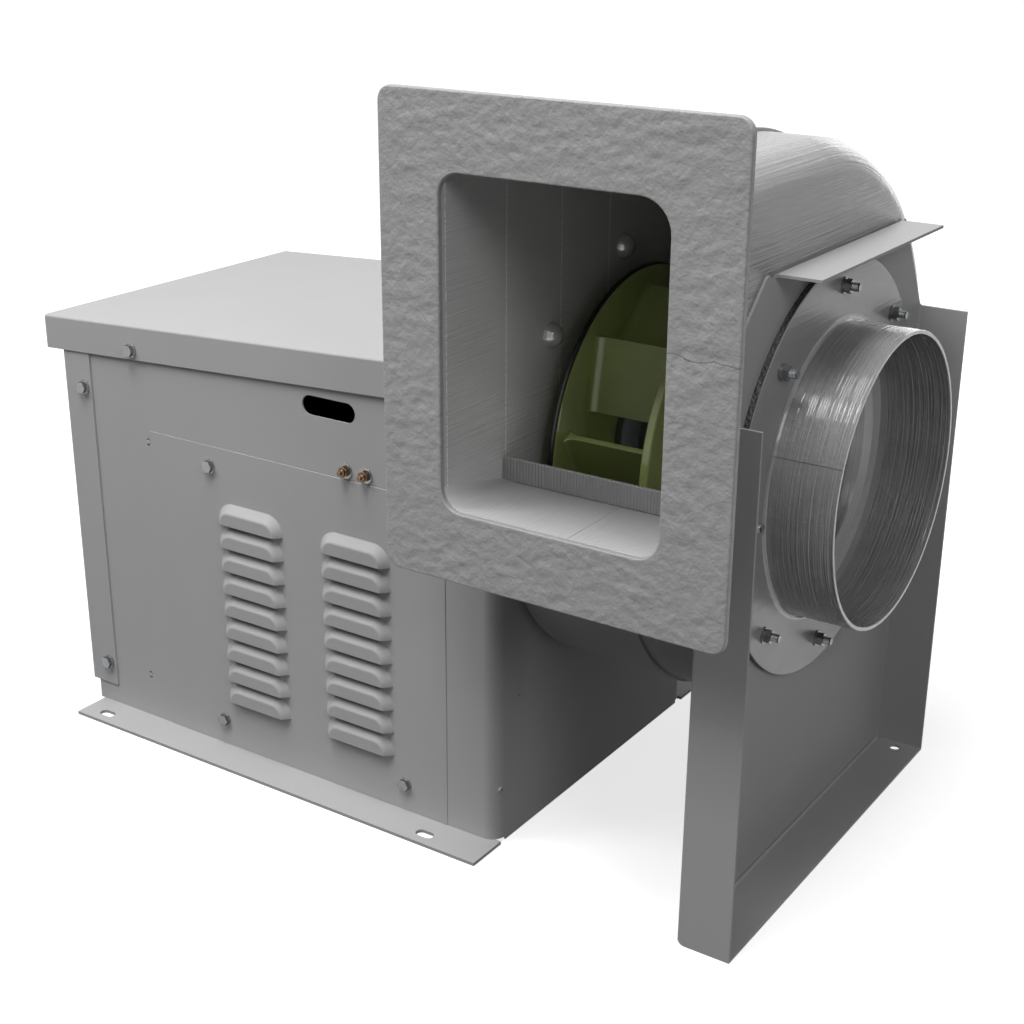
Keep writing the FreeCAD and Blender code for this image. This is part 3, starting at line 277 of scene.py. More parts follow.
# Drive inside the cabinet: bearing stand, pillow blocks, shaft, pulleys, belt and motor.
# Castings are enamelled over their grain, shafts are turned bright, and the belt is rubber.
def grained(name, light, dark, roughness, grain_mm, depth_mm, metallic=0.0):
    """A cast, moulded or turned skin: two close shades over a fine grain of a real size."""
    material, nodes, shader = surface(name, light, roughness, metallic)
    place = places(nodes)
    mottle(nodes, shader, place, light, dark, size_mm=12 * grain_mm)
    emboss(nodes, shader, grain(nodes, place, grain_mm, detail=3.0), strength=0.4, depth_mm=depth_mm)
    return material


# A dull dark coat that lets the sand-cast grain through.
casting = grained("enamelled_cast_iron", "#55585b", "#484b4e", roughness=0.48, grain_mm=2.5, depth_mm=0.5)
# Bright metal, its mirror broken by faint tool marks.
turned_steel = grained("turned_steel", "#b6b6b8", "#a6a6a9", roughness=0.28, grain_mm=0.8, depth_mm=0.05,
                       metallic=1.0)
# Matt black, without a highlight.
belt_rubber = grained("belt_rubber", "#2b2b2b", "#212121", roughness=0.78, grain_mm=1.2, depth_mm=0.2)
# Smooth blue-grey paint with a soft sheen.
motor_enamel = grained("motor_enamel", "#525c66", "#485159", roughness=0.4, grain_mm=2.0, depth_mm=0.2)
for node in ("bearing_stand", "motor_slide_base"):
    dressed(node, cabinet_coat)
for node in ("pillow_block_pulley", "pillow_block_fan"):
    dressed(node, casting, edge_mm=1.5)
dressed("motor", motor_enamel, edge_mm=2)
dressed("drive_belt", belt_rubber)
dressed("shaft_seal", belt_rubber)
dressed("fan_shaft", turned_steel, body="fan_rotor")
dressed("fan_pulley", casting, body="fan_rotor")
dressed("motor_shaft", turned_steel, body="motor_rotor")
dressed("motor_pulley", casting, body="motor_rotor")


# Cabinet: a wrap round three sides, an end panel with lapped strips and a sloped lid with a lip.
# All are bent from 2 mm sheet and coated after bending; rivets and blind nuts hold brackets inside.
def box_mm(node):
    """Lowest and highest corner of a CAD node, in mm."""
    return [Vector(corner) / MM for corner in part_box(node)]


def turned(mesh, profile, centre, axis, steps):
    """Spin a closed outline of length and radius pairs, in mm, about a line along X or Y."""
    along = Vector((1, 0, 0)) if axis == "X" else Vector((0, 1, 0))
    centre = Vector(centre) * MM
    spots = [mesh.verts.new(centre + along * (length * MM) + Vector((0, 0, radius * MM)))
             for length, radius in profile]
    edges = [mesh.edges.new((spots[i], spots[(i + 1) % len(spots)])) for i in range(len(spots))]
    bmesh.ops.spin(mesh, geom=spots + edges, cent=centre, axis=along, angle=2 * math.pi, steps=steps,
                   use_merge=True)
    bmesh.ops.remove_doubles(mesh, verts=mesh.verts, dist=WELD_MM * MM)
    bmesh.ops.recalc_face_normals(mesh, faces=mesh.faces)


FRONT_Y, WALL_X = box_mm("cabinet_wrap")[0].y, box_mm("cabinet_wrap")[1].x
QUARTER_TURN = Matrix.Rotation(math.radians(90), 3, "X")
RIVETS_XZ, RIVET_R, RIVET_FLAT = ((-167, 368), (-194, 61)), 2.9, 0.22
# The dark ring of painted shade round each rivet: its radii, thickness, squash across and offset out.
SHADE_RING_R, SHADE_RING_FACE_R, SHADE_RING_T, SHADE_RING_NARROW, SHADE_RING_OUT = 4.5, 4.1, 0.12, 0.66, 0.05
NUTS_YZ = ((-168.6, 165.8), (-200, 65))
BLIND_NUT = [(0.5, 1.9), (-9, 1.9), (-9.5, 0.03), (-10.5, 0.03), (-10.5, 2.95), (0, 2.95), (0, 4.2),
             (0.4, 4.1)]
dressed("cabinet_wrap", cabinet_coat, edge_mm=0.2)
for node in ("end_panel", "lid"):
    dressed(node, cabinet_coat, edge_mm=0.5)
# Painted shade round a rivet: a matt dark ring that stands for the shade in its dimple and draws its edge.
painted_rivet_shade = grained("painted_shade_round_rivet", "#262626", "#121212", roughness=0.9, grain_mm=0.6, depth_mm=0.1)
for number, (x, z) in enumerate(RIVETS_XZ, start=1):
    spot = Vector((x, FRONT_Y, z))
    rivet = bmesh.new()
    bmesh.ops.create_uvsphere(rivet, u_segments=24, v_segments=12, radius=RIVET_R * MM)
    bmesh.ops.scale(rivet, vec=(1, RIVET_FLAT, 1), verts=rivet.verts)
    bmesh.ops.translate(rivet, vec=spot * MM, verts=rivet.verts)
    soften(piece(f"flush_rivet_{number}", rivet, [cabinet_coat], "cabinet"))
    # A thin dark ring just in front of the wall: the rivet's painted shade.
    shade_ring = bmesh.new()
    bmesh.ops.create_cone(shade_ring, cap_ends=True, segments=32, radius1=SHADE_RING_R * MM, radius2=SHADE_RING_FACE_R * MM,
                          depth=SHADE_RING_T * MM)
    bmesh.ops.rotate(shade_ring, matrix=QUARTER_TURN, verts=shade_ring.verts)
    bmesh.ops.scale(shade_ring, vec=(SHADE_RING_NARROW, 1, 1), verts=shade_ring.verts)
    bmesh.ops.translate(shade_ring, vec=(spot - Vector((0, SHADE_RING_OUT, 0))) * MM, verts=shade_ring.verts)
    piece(f"flush_rivet_painted_shade_{number}", shade_ring, [painted_rivet_shade], "cabinet")
for number, (y, z) in enumerate(NUTS_YZ, start=1):
    insert = bmesh.new()
    turned(insert, BLIND_NUT, (WALL_X, y, z), "X", steps=32)
    soften(piece(f"blind_nut_{number}", insert, [cabinet_coat], "cabinet"))


# Access panel: thin sheet with two columns of nine louvers, pressed out and sheared open below.
# The press leaves a wide sloped shoulder round each; the panel stands a hair proud, so its top edge shines.
PANEL_LAP, PANEL_T, PANEL_PROUD = 0.35, 1.6, 0.8
HOOD_LEFT, HOOD_LOW, HOOD_WIDE, HOOD_HIGH, HOOD_ROUND = -62, 68.6, 97, 24.6, 23
HOOD_COLUMNS, HOOD_ROWS, HOOD_STEP_X, HOOD_STEP_Z = 2, 9, 150, 28.2
THROAT_SIDE, THROAT_SILL, THROAT_HEAD = 9, 1, 13
# Lines up a hood's shoulder: how far in from its outline, and how far out of the sheet.
SHOULDER = [(0, 0), (0.7, 0.25), (1.6, 1.0), (7.9, 7.5), (8.8, 8.3), (9.9, 8.8), (11.2, 9)]


def arc(centre, radius, start, stop, steps=12):
    """Points on part of a circle, with angles in degrees."""
    turns = [math.radians(start + (stop - start) * i / steps) for i in range(steps + 1)]
    return [(centre[0] + radius * math.cos(t), centre[1] + radius * math.sin(t)) for t in turns]


def hood_row(mesh, inset, out):
    """One line of points round a hood, from its lower left end over the top to its lower right end."""
    crown = HOOD_LOW + HOOD_HIGH - HOOD_ROUND
    spots = [(HOOD_LEFT + inset, HOOD_LOW)]
    for middle, start in ((HOOD_LEFT + HOOD_ROUND, 180), (HOOD_LEFT + HOOD_WIDE - HOOD_ROUND, 90)):
        spots += arc((middle, crown), HOOD_ROUND - inset, start, start - 90, steps=10)
    spots.append((HOOD_LEFT + HOOD_WIDE - inset, HOOD_LOW))
    return [mesh.verts.new(Vector((x, FRONT_Y - out, z)) * MM) for x, z in spots]


def pressed_hood():
    """A mesh of the lowest hood on the left, for copies of it."""
    hood = bmesh.new()
    lines = [hood_row(hood, inset, out) for inset, out in SHOULDER]
    for lower, upper in zip(lines, lines[1:]):
        for i in range(len(lower) - 1):
            hood.faces.new((lower[i], upper[i], upper[i + 1], lower[i + 1]))
    hood.faces.new(lines[-1])
    bmesh.ops.recalc_face_normals(hood, faces=hood.faces)
    if sum(face.normal.y * face.calc_area() for face in hood.faces) > 0:
        bmesh.ops.reverse_faces(hood, faces=hood.faces)
    data = bpy.data.meshes.new("pressed_hood")
    hood.to_mesh(data)
    hood.free()
    return data


low, high = box_mm("access_panel")
near_x, far_x = low.x - PANEL_LAP, high.x + PANEL_LAP
panel = bmesh.new()
corners = [(near_x, low.z), (far_x, low.z), (far_x, high.z), (near_x, high.z)]
panel.faces.new([panel.verts.new(Vector((x, FRONT_Y, z)) * MM) for x, z in corners])
columns = [HOOD_LEFT + THROAT_SIDE + HOOD_STEP_X * i for i in range(HOOD_COLUMNS)]
rows = [HOOD_LOW + THROAT_SILL + HOOD_STEP_Z * i for i in range(HOOD_ROWS)]
throat_wide, throat_high = HOOD_WIDE - 2 * THROAT_SIDE, HOOD_HIGH - THROAT_SILL - THROAT_HEAD
cuts = [((x * MM, 0, 0), (1, 0, 0)) for start in columns for x in (start, start + throat_wide)]
cuts += [((0, 0, z * MM), (0, 0, 1)) for start in rows for z in (start, start + throat_high)]
for place, across in cuts:
    bmesh.ops.bisect_plane(panel, geom=panel.verts[:] + panel.edges[:] + panel.faces[:],
                           dist=WELD_MM * MM, plane_co=place, plane_no=across)
throats = []
for face in panel.faces:
    middle = face.calc_center_median() / MM
    in_column = any(0 < middle.x - x < throat_wide for x in columns)
    if in_column and any(0 < middle.z - z < throat_high for z in rows):
        throats.append(face)
bmesh.ops.delete(panel, geom=throats, context="FACES")
hood_mesh = pressed_hood()
for column in range(HOOD_COLUMNS):
    for row in range(HOOD_ROWS):
        before = len(panel.verts)
        panel.from_mesh(hood_mesh)
        panel.verts.ensure_lookup_table()
        bmesh.ops.translate(panel, vec=(column * HOOD_STEP_X * MM, 0, row * HOOD_STEP_Z * MM),
                            verts=panel.verts[before:])
bmesh.ops.solidify(panel, geom=panel.faces[:], thickness=PANEL_T * MM)
bmesh.ops.translate(panel, vec=(0, -PANEL_PROUD * MM, 0), verts=panel.verts)
soften(piece("access_panel_finish", panel, [cabinet_coat], "cabinet", ["access_panel"]),
       edge_mm=0.4, turn=40)


# Hex bolts: zinc-plated steel on washers, through the lid's lip, the strips and the access panel.
# Bright zinc has a pale bluish sheen with small dull spangles.
def zinc_plate(name):
    """Bright zinc on steel: two close greys, and a gloss that comes and goes with the spangle."""
    material, nodes, shader = surface(name, "#86888a", roughness=0.32, metallic=1.0)
    place = places(nodes)
    mottle(nodes, shader, place, "#929496", "#6e7072", size_mm=3)
    spangle = grain(nodes, place, size_mm=1.5, detail=2.0)
    gloss = ramp(nodes, spangle, start=0.3, stop=0.7, low=0.28, high=0.5)
    nodes.links.new(gloss, shader.inputs["Roughness"])
    return material


zinc = zinc_plate("zinc_plated_steel")
for node in [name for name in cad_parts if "_bolt_" in name]:
    dressed(node, zinc, turn=25)


# Grease fittings: a turned bronze nipple on a hexagon, each on a zinc washer.
# They stand out of the wrap on tubes that lead to the two bearings.
GREASE_WASHER = [(0, 4.6), (-1.6, 4.6), (-1.6, 8.2), (-1.3, 8.5), (0, 8.5)]
NIPPLE = [(2, 0.05), (-13.2, 0.05), (-13.4, 1.4), (-12.6, 2.7), (-11.2, 3.0), (-10.2, 2.3), (-9.4, 2.3),
          (-8.6, 4.0), (-6.8, 4.4), (-6.6, 4.5), (2, 4.4)]
HEX_R, HEX_T, HEX_OUT = 6.5, 5, 4.1
# Brown metal that has aged in patches and still shines.
bronze = grained("aged_bronze", "#7f6750", "#564434", roughness=0.34, grain_mm=1.5, depth_mm=0.15,
                 metallic=1.0)
for number in (1, 2):
    low, high = box_mm(f"grease_fitting_{number}")
    spot = Vector(((low.x + high.x) / 2, FRONT_Y, (low.z + high.z) / 2))
    washer = bmesh.new()
    turned(washer, GREASE_WASHER, spot, "Y", steps=48)
    soften(piece(f"grease_washer_{number}", washer, [zinc], "cabinet"))
    fitting = bmesh.new()
    turned(fitting, NIPPLE, spot, "Y", steps=40)
    hexagon = bmesh.ops.create_cone(fitting, cap_ends=True, segments=6, radius1=HEX_R * MM,
                                    radius2=HEX_R * MM, depth=HEX_T * MM)["verts"]
    bmesh.ops.rotate(fitting, matrix=QUARTER_TURN, verts=hexagon)
    bmesh.ops.translate(fitting, vec=(spot - Vector((0, HEX_OUT, 0))) * MM, verts=hexagon)
    soften(piece(f"grease_nipple_{number}", fitting, [bronze], "cabinet",
                 [f"grease_fitting_{number}"]), edge_mm=0.4)


# Scroll: two glass-fibre mouldings joined at a rim, with a ring pad to the cabinet.
# The gel coat is glossy and shows fine streaks of the cloth that run round the wrap; below, its gloss is cut
# as a painted shade.
# Inside is a pale lining with seams, and resin domes cover the bolts through the drive wall.
shaft_low, shaft_high = box_mm("fan_shaft")
SHAFT = Vector((0, (shaft_low.y + shaft_high.y) / 2, (shaft_low.z + shaft_high.z) / 2))
WALL_T, FLOOR_Z, CEILING_Z, FLOOR_CORNER_R, NEAR_MM = 3, 428, 742, 22, 0.05
DRIVE_WALL_X = box_mm("scroll_housing")[0].x + WALL_T
INLET_WALL_X = box_mm("scroll_inlet_half")[1].x - WALL_T
MOUTH_Y = box_mm("scroll_housing")[0].y
BEND_MIDDLE, MOUTH_FLARE = Vector((527, 465)), 13
# Places inside the scroll and its duct: a face that looks towards them is part of the lining.
SCROLL_HEART, DUCT_HEART = SHAFT + Vector((450, 0, 0)), Vector((450, -200, 585))
DUCT_FROM_Y, DUCT_FROM_Z = -60, 400
DOME_CIRCLE_R, DOME_R, DOME_FROM_X, DOME_TO_X = 201, 16, DRIVE_WALL_X + 0.2, 350
SEAMS_Y, BEAD_GRAIN_MM, BEAD_R = (-310, -213, -116, -24), 3, 1.3
# Where the painted shade on faces that look up begins to darken, and where it is darkest.
FLOOR_SHADE_FROM_Y, FLOOR_SHADE_TO_Y = -310, -185


def streaks(nodes, place, lengths_mm, detail, tilt=0, roughness=0.5):
    """Noise drawn out to real lengths along X, Y and Z, and tilted about X by some degrees."""
    drawn = add(nodes, "ShaderNodeMapping", {"Vector": place, "Rotation": (math.radians(tilt), 0, 0),
                                             "Scale": [1 / (length * MM) for length in lengths_mm]})
    return add(nodes, "ShaderNodeTexNoise", {"Vector": drawn.outputs[0], "Scale": 1.0, "Detail": detail,
                                             "Roughness": roughness}).outputs["Fac"]


def facing(nodes):
    """The way that the surface faces, along X, Y and Z."""
    normal = add(nodes, "ShaderNodeNewGeometry").outputs["Normal"]
    return add(nodes, "ShaderNodeSeparateXYZ", {0: normal}).outputs


def streaked_laminate(name, light, dark, roughness, long_mm, depth_mm, fine_mm=2.0):
    """Moulded glass fibre: cloth streaks across X, and across Z on walls that face along X."""
    material, nodes, shader = surface(name, light, roughness)
    place = places(nodes)
    mottle(nodes, shader, place, light, dark, size_mm=70, detail=6.0)
    wrapped = streaks(nodes, place, (fine_mm, long_mm, long_mm), detail=3.0)
    lying = streaks(nodes, place, (long_mm, long_mm, 1.25 * fine_mm), detail=3.0, tilt=9)
    on_wall = ramp(nodes, reckon(nodes, "ABSOLUTE", facing(nodes)["X"]), start=0.93, stop=0.99)
    cloth = add(nodes, "ShaderNodeMix", {0: on_wall, 2: wrapped, 3: lying}, data_type="FLOAT").outputs[0]
    emboss(nodes, shader, grain(nodes, place, size_mm=38, detail=2.0), strength=0.35, depth_mm=2.5)
    emboss(nodes, shader, cloth, strength=0.7, depth_mm=depth_mm)
    return material, nodes, shader


def overlay(nodes, shader, share, colour):
    """Lay a colour over the shade that the surface has, by a share from 0 to 1."""
    shade = shader.inputs["Base Color"].links[0].from_socket
    nodes.links.new(blend(nodes, share, shade, colour), shader.inputs["Base Color"])


def gel_coat_skin(name):
    """Glossy grey gel coat with streaked highlights; on faces that look down its gloss is cut, a painted
    shade.
    """
    material, nodes, shader = streaked_laminate(name, "#a5a5a5", "#969696", roughness=0.2, long_mm=130,
                                                depth_mm=1.6)
    upwards = facing(nodes)["Z"]
    # Painted shade: faces that look down lose their gloss, so the underside stays dark.
    for socket, from_side, from_below in (("Roughness", 0.2, 0.7), ("Specular IOR Level", 0.5, 0.04)):
        gloss_cut_as_painted_shade = ramp(nodes, upwards, start=-0.1, stop=-0.5, low=from_side, high=from_below)
        nodes.links.new(gloss_cut_as_painted_shade, shader.inputs[socket])
    return material


def resin_lining(name):
    """Pale lining: bright beads of resin along its seams, and painted shade on faces that look up, grey at
    the mouth and darker deeper in.
    """
    material, nodes, shader = streaked_laminate(name, "#cfcfcf", "#c2c2c2", roughness=0.22, long_mm=120,
                                                depth_mm=1.0)
    place = places(nodes)
    spot = add(nodes, "ShaderNodeSeparateXYZ", {0: place}).outputs
    offs = [reckon(nodes, "ABSOLUTE", reckon(nodes, "SUBTRACT", spot["Y"], y * MM)) for y in SEAMS_Y]
    nearest = offs[0]
    for off in offs[1:]:
        nearest = reckon(nodes, "MINIMUM", nearest, off)
    lumps = grain(nodes, place, BEAD_GRAIN_MM, detail=1.0)
    bead_r = ramp(nodes, lumps, start=0.3, stop=0.7, high=BEAD_R * MM)
    on_seam = reckon(nodes, "LESS_THAN", nearest, bead_r)
    on_wall = reckon(nodes, "LESS_THAN", spot["X"], (DRIVE_WALL_X + 1) * MM)
    overlay(nodes, shader, reckon(nodes, "MULTIPLY", on_seam, on_wall), linear("#f0f0f0"))
    # Painted shade: faces that look up take a grey that darkens from the mouth inwards.
    inwards = ramp(nodes, spot["Y"], FLOOR_SHADE_FROM_Y * MM, FLOOR_SHADE_TO_Y * MM)
    painted_floor_shade = blend(nodes, inwards, linear("#c0c0c0"), linear("#606060"))
    overlay(nodes, shader, ramp(nodes, facing(nodes)["Z"], start=0.05, stop=0.8), painted_floor_shade)
    return material


def resin_dome(name):
    """Clear-coated resin over a bolt head: pale, with a small hard glint."""
    material, nodes, shader = surface(name, "#b9b9b9", roughness=0.14, specular=1.0)
    shader.inputs["Coat Weight"].default_value = 1.0
    shader.inputs["Coat IOR"].default_value = 1.8
    mottle(nodes, shader, places(nodes), "#bfbfbf", "#aeaeae", size_mm=8)
    return material


def from_shaft(spot):
    """Distance of a place from the fan shaft's line, in mm."""
    return math.hypot(spot.y - SHAFT.y, spot.z - SHAFT.z)


def round_floor_corner(shell):
    """Round the duct's corner between floor and drive wall."""
    corner = [edge for edge in shell.edges if all(
        abs(vert.co.x - DRIVE_WALL_X * MM) < NEAR_MM * MM and abs(vert.co.z - FLOOR_Z * MM) < NEAR_MM * MM
        for vert in edge.verts)]
    bmesh.ops.bevel(shell, geom=corner, offset=FLOOR_CORNER_R * MM, offset_type="OFFSET", segments=8,
                    profile=0.5, affect="EDGES", material=-1)


def flare_mouth(shell):
    """Draw the duct's bend out at the mouth, to the smaller radius of the outlet's corner."""
    for vert in shell.verts:
        turn = Vector((vert.co.x, vert.co.z)) / MM - BEND_MIDDLE
        if vert.co.y < (MOUTH_Y + NEAR_MM) * MM and turn.x > -NEAR_MM and turn.y < NEAR_MM:
            flared = BEND_MIDDLE + turn + MOUTH_FLARE * (Vector((1, -1)) - turn.normalized())
            vert.co.x, vert.co.z = flared * MM


gel_coat = gel_coat_skin("grey_gel_coat")
lining = resin_lining("resin_rich_veil")
dome = resin_dome("resin_bolt_cover")
for half, reshape in (("scroll_housing", round_floor_corner), ("scroll_inlet_half", flare_mouth)):
    shell = merged(half)
    reshape(shell)
    shell.normal_update()
    # Material 0 is the gel coat outside, 1 the lining inside and 2 a dome over a bolt.
    for face in shell.faces:
        middle = face.calc_center_median() / MM
        heart = DUCT_HEART if middle.y < DUCT_FROM_Y and middle.z > DUCT_FROM_Z else SCROLL_HEART
        face.material_index = int(face.normal.dot(heart - middle) > 0)
        if abs(from_shaft(middle) - DOME_CIRCLE_R) < DOME_R and DOME_FROM_X < middle.x < DOME_TO_X:
            face.material_index = 2
    soften(piece(f"{half}_finish", shell, [gel_coat, lining, dome], "cabinet", [half]),
           edge_mm=0.8)
dressed("mounting_ring", gel_coat, edge_mm=0.8)


# Discharge flange: a flat laid-up frame round the outlet, bonded to the scroll's mouth.
# Its face is hand-laid chopped mat, lumpy like stucco, with one hairline crack on the inlet side.
low, high = box_mm("discharge_flange")
FLANGE_FACE, FLANGE_BACK = low.y, high.y
OUTER = (low.x, high.x, low.z, high.z)
OPENING = (DRIVE_WALL_X, INLET_WALL_X, FLOOR_Z, CEILING_Z)
OUTER_R, OPENING_R, LIP_R = [14] * 4, [30, 21, 21, 24], 1.8
SIDE_CUTS, CORNER_CUTS, LIP_CUTS, FACE_ROWS, FADE_ROWS = 140, 8, 4, 30, 3
# Folds and ripples: size, pace along X, and height; the ripples come from another part of the noise.
FOLD_MM, FOLD_PACE, FOLD_HIGH = 13, 0.55, 0.75
RIPPLE_MM, RIPPLE_PACE, RIPPLE_HIGH, RIPPLE_APART = 7, 0.7, 0.6, 90
# The crack: where it starts, its height, how far it sways over what length, and half its width.
CRACK_FROM, CRACK_Z, CRACK_SWAY, CRACK_WAVE, CRACK_HALF = 563, 615, 14, 26, 0.55


def chopped_mat(name, light, dark):
    """Hand-laid glass mat under resin: dull lumps and a fine grain on the mesh's folds, and a dark crack."""
    material, nodes, shader = surface(name, light, roughness=0.42, specular=0.4)
    place = places(nodes)
    mottle(nodes, shader, place, light, dark, size_mm=45, detail=6.0)
    emboss(nodes, shader, grain(nodes, place, size_mm=7, detail=1.0), strength=0.5, depth_mm=2.2)
    emboss(nodes, shader, grain(nodes, place, size_mm=2.2, detail=2.0), strength=0.5, depth_mm=0.9)
    spot = add(nodes, "ShaderNodeSeparateXYZ", {0: place}).outputs
    wander = grain(nodes, place, CRACK_WAVE, detail=3.0)
    line = reckon(nodes, "MULTIPLY_ADD", wander, CRACK_SWAY * MM, (CRACK_Z - CRACK_SWAY / 2) * MM)
    off = reckon(nodes, "ABSOLUTE", reckon(nodes, "SUBTRACT", spot["Z"], line))
    near_line = reckon(nodes, "LESS_THAN", off, CRACK_HALF * MM)
    on_side = reckon(nodes, "GREATER_THAN", spot["X"], CRACK_FROM * MM)
    overlay(nodes, shader, reckon(nodes, "MULTIPLY", near_line, on_side), linear("#747474"))
    return material


def frame_line(box, grow, radii, y):
    """Points round a rectangle, let out or taken in, with a radius for each corner and its sides cut up."""
    left, right, low, top = box[0] - grow, box[1] + grow, box[2] - grow, box[3] + grow
    turns = [radius + grow for radius in radii]
    centres = [(right - turns[0], top - turns[0]), (left + turns[1], top - turns[1]),
               (left + turns[2], low + turns[2]), (right - turns[3], low + turns[3])]
    corners = [arc(centre, turns[n], 90 * n, 90 * n + 90, CORNER_CUTS) for n, centre in enumerate(centres)]
    spots = []
    for corner, following in zip(corners, corners[1:] + corners[:1]):
        side = [Vector(corner[-1]).lerp(Vector(following[0]), i / SIDE_CUTS) for i in range(1, SIDE_CUTS)]
        spots += corner + side
    return [Vector((x, y, z)) for x, z in spots]


def laid_height(spot):
    """Height in mm of the hand-laid surface: broad folds that run along X, and smaller ripples on them."""
    folds = noise.noise(Vector((FOLD_PACE * spot.x, 0, spot.z)) / FOLD_MM)
    ripples = noise.noise(Vector((RIPPLE_PACE * spot.x, RIPPLE_APART, spot.z)) / RIPPLE_MM)
    return FOLD_HIGH * folds + RIPPLE_HIGH * ripples


rim = [frame_line(OUTER, 0, OUTER_R, FLANGE_BACK)]
rim += [frame_line(OUTER, grow, OUTER_R, FLANGE_FACE + LIP_R - rise)
        for grow, rise in arc((-LIP_R, 0), LIP_R, 0, 90, LIP_CUTS)]
mouth = [frame_line(OPENING, grow, OPENING_R, FLANGE_FACE + LIP_R - rise)
         for grow, rise in arc((LIP_R, 0), LIP_R, 90, 180, LIP_CUTS)]
mouth.append(frame_line(OPENING, 0, OPENING_R, FLANGE_BACK))
laid = []
for row in range(1, FACE_ROWS):
    fade = min(1, row / FADE_ROWS, (FACE_ROWS - row) / FADE_ROWS)
    line = [start.lerp(stop, row / FACE_ROWS) for start, stop in zip(rim[-1], mouth[0])]
    laid.append([spot - Vector((0, fade * laid_height(spot), 0)) for spot in line])
flange = bmesh.new()
lines = [[flange.verts.new(spot * MM) for spot in line] for line in rim + laid + mouth]
for line, after in zip(lines, lines[1:] + lines[:1]):
    for i in range(len(line)):
        following = (i + 1) % len(line)
        flange.faces.new((line[i], line[following], after[following], after[i]))
bmesh.ops.recalc_face_normals(flange, faces=flange.faces)
mat_face = chopped_mat("chopped_mat_laminate", "#a6a6a6", "#9a9a9a")
soften(piece("discharge_flange_finish", flange, [mat_face], "cabinet", ["discharge_flange"]))


# Cutoff plate: a strip of ribbed laminate that stands on the duct floor at the scroll's tongue.
# It is bonded in place, with its pull-tape ribs upright.
def ribbed_laminate(name, rib_mm):
    """Mid-grey laminate whose upright ribs show as fine light and dark lines."""
    material, nodes, shader = surface(name, "#868686", roughness=0.4)
    place = places(nodes)
    mottle(nodes, shader, place, "#8c8c8c", "#7c7c7c", size_mm=30)
    bands = add(nodes, "ShaderNodeTexWave", {"Vector": place, "Scale": math.pi / 10 / (rib_mm * MM),
                                             "Distortion": 1.5, "Detail": 2.0}, bands_direction="X")
    emboss(nodes, shader, bands.outputs["Fac"], strength=0.8, depth_mm=0.8)
    return material


dressed("cutoff_plate", ribbed_laminate("ribbed_laminate", rib_mm=3.6), edge_mm=0.8)


# Wheel: back disc, nine flat blades and a dished shroud, moulded in green-pigmented resin.
# The mould is polished, so the faces gloss; blades flare into the disc, and the rim and a thin band of the
# disc next to it are black.
low, high = box_mm("impeller_wheel")
DISC_BACK, DISC_FACE, HUB_R, RIM_R = low.x, 358, 19, (high.z - low.z) / 2
DISC = [(DISC_BACK, HUB_R), (DISC_FACE, HUB_R), (DISC_FACE, 177.5), (357.2, 180), (355, RIM_R),
        (DISC_BACK, RIM_R)]
SHROUD = [(506, 119), (499, 119.6), (492, 122), (479, 137), (466, 156), (460, 169), (456, 180), (457, RIM_R),
          (464, RIM_R), (465.5, 180.5), (468, 170), (471, 159), (485, 139.5), (495, 127.5), (507.5, 123.5)]
WHEEL_STEPS, BLACK_FROM_R = 144, 179.2
BLADES, BLADE_FROM, BLADE_TO, BLADE_ROOT, BLADE_LAG = 9, 120, 158, 35.3, 28.5
BLADE_HALF_T, BLADE_TOP, TIP_DROP = 3, 495, 28
# A blade's foot: half its thickness, and how far above the disc.
BLADE_FLARE = [(11, -1), (7.2, 0.9), (5, 3), (3.7, 6.4), (3, 11)]


def green_resin(name):
    """Olive green resin with a polished, slightly wavy gloss and faint flow marks."""
    material, nodes, shader = surface(name, "#adb975", roughness=0.16, specular=0.6)
    place = places(nodes)
    mottle(nodes, shader, place, "#b4c07c", "#a0ae69", size_mm=40, detail=3.0)
    emboss(nodes, shader, grain(nodes, place, size_mm=22, detail=2.0), strength=0.18, depth_mm=2)
    return material


def round_shaft(radius, degrees):
    """A place round the fan shaft, in mm, with its angle from the rear."""
    angle = math.radians(degrees)
    return SHAFT + Vector((0, radius * math.cos(angle), radius * math.sin(angle)))


# Black round the disc's rim and the outermost band of its face, with a low gloss.
black_rim = grained("black_rim_band", "#1b1c1e", "#101113", roughness=0.35, grain_mm=1.5, depth_mm=0.15)
wheel = bmesh.new()
for profile in (DISC, SHROUD):
    turned(wheel, profile, SHAFT, "X", WHEEL_STEPS)
section = [(-side, DISC_FACE + rise) for side, rise in BLADE_FLARE]
section += [(-BLADE_HALF_T, BLADE_TOP), (BLADE_HALF_T, BLADE_TOP)]
section += [(side, DISC_FACE + rise) for side, rise in reversed(BLADE_FLARE)]
for number in range(BLADES):
    root = BLADE_ROOT + 360 / BLADES * number
    inner, outer = round_shaft(BLADE_FROM, root), round_shaft(BLADE_TO, root - BLADE_LAG)
    across = Vector((1, 0, 0)).cross((outer - inner).normalized())
    spots = [wheel.verts.new((inner + across * side + Vector((x, 0, 0))) * MM) for side, x in section]
    grown = bmesh.ops.extrude_face_region(wheel, geom=[wheel.faces.new(spots)])
    ends = [item for item in grown["geom"] if isinstance(item, bmesh.types.BMVert)]
    bmesh.ops.translate(wheel, vec=(outer - inner) * MM, verts=ends)
    tips = [vert for vert in ends if vert.co.x > (BLADE_TOP - 1) * MM]
    bmesh.ops.translate(wheel, vec=(-TIP_DROP * MM, 0, 0), verts=tips)
bmesh.ops.recalc_face_normals(wheel, faces=wheel.faces)
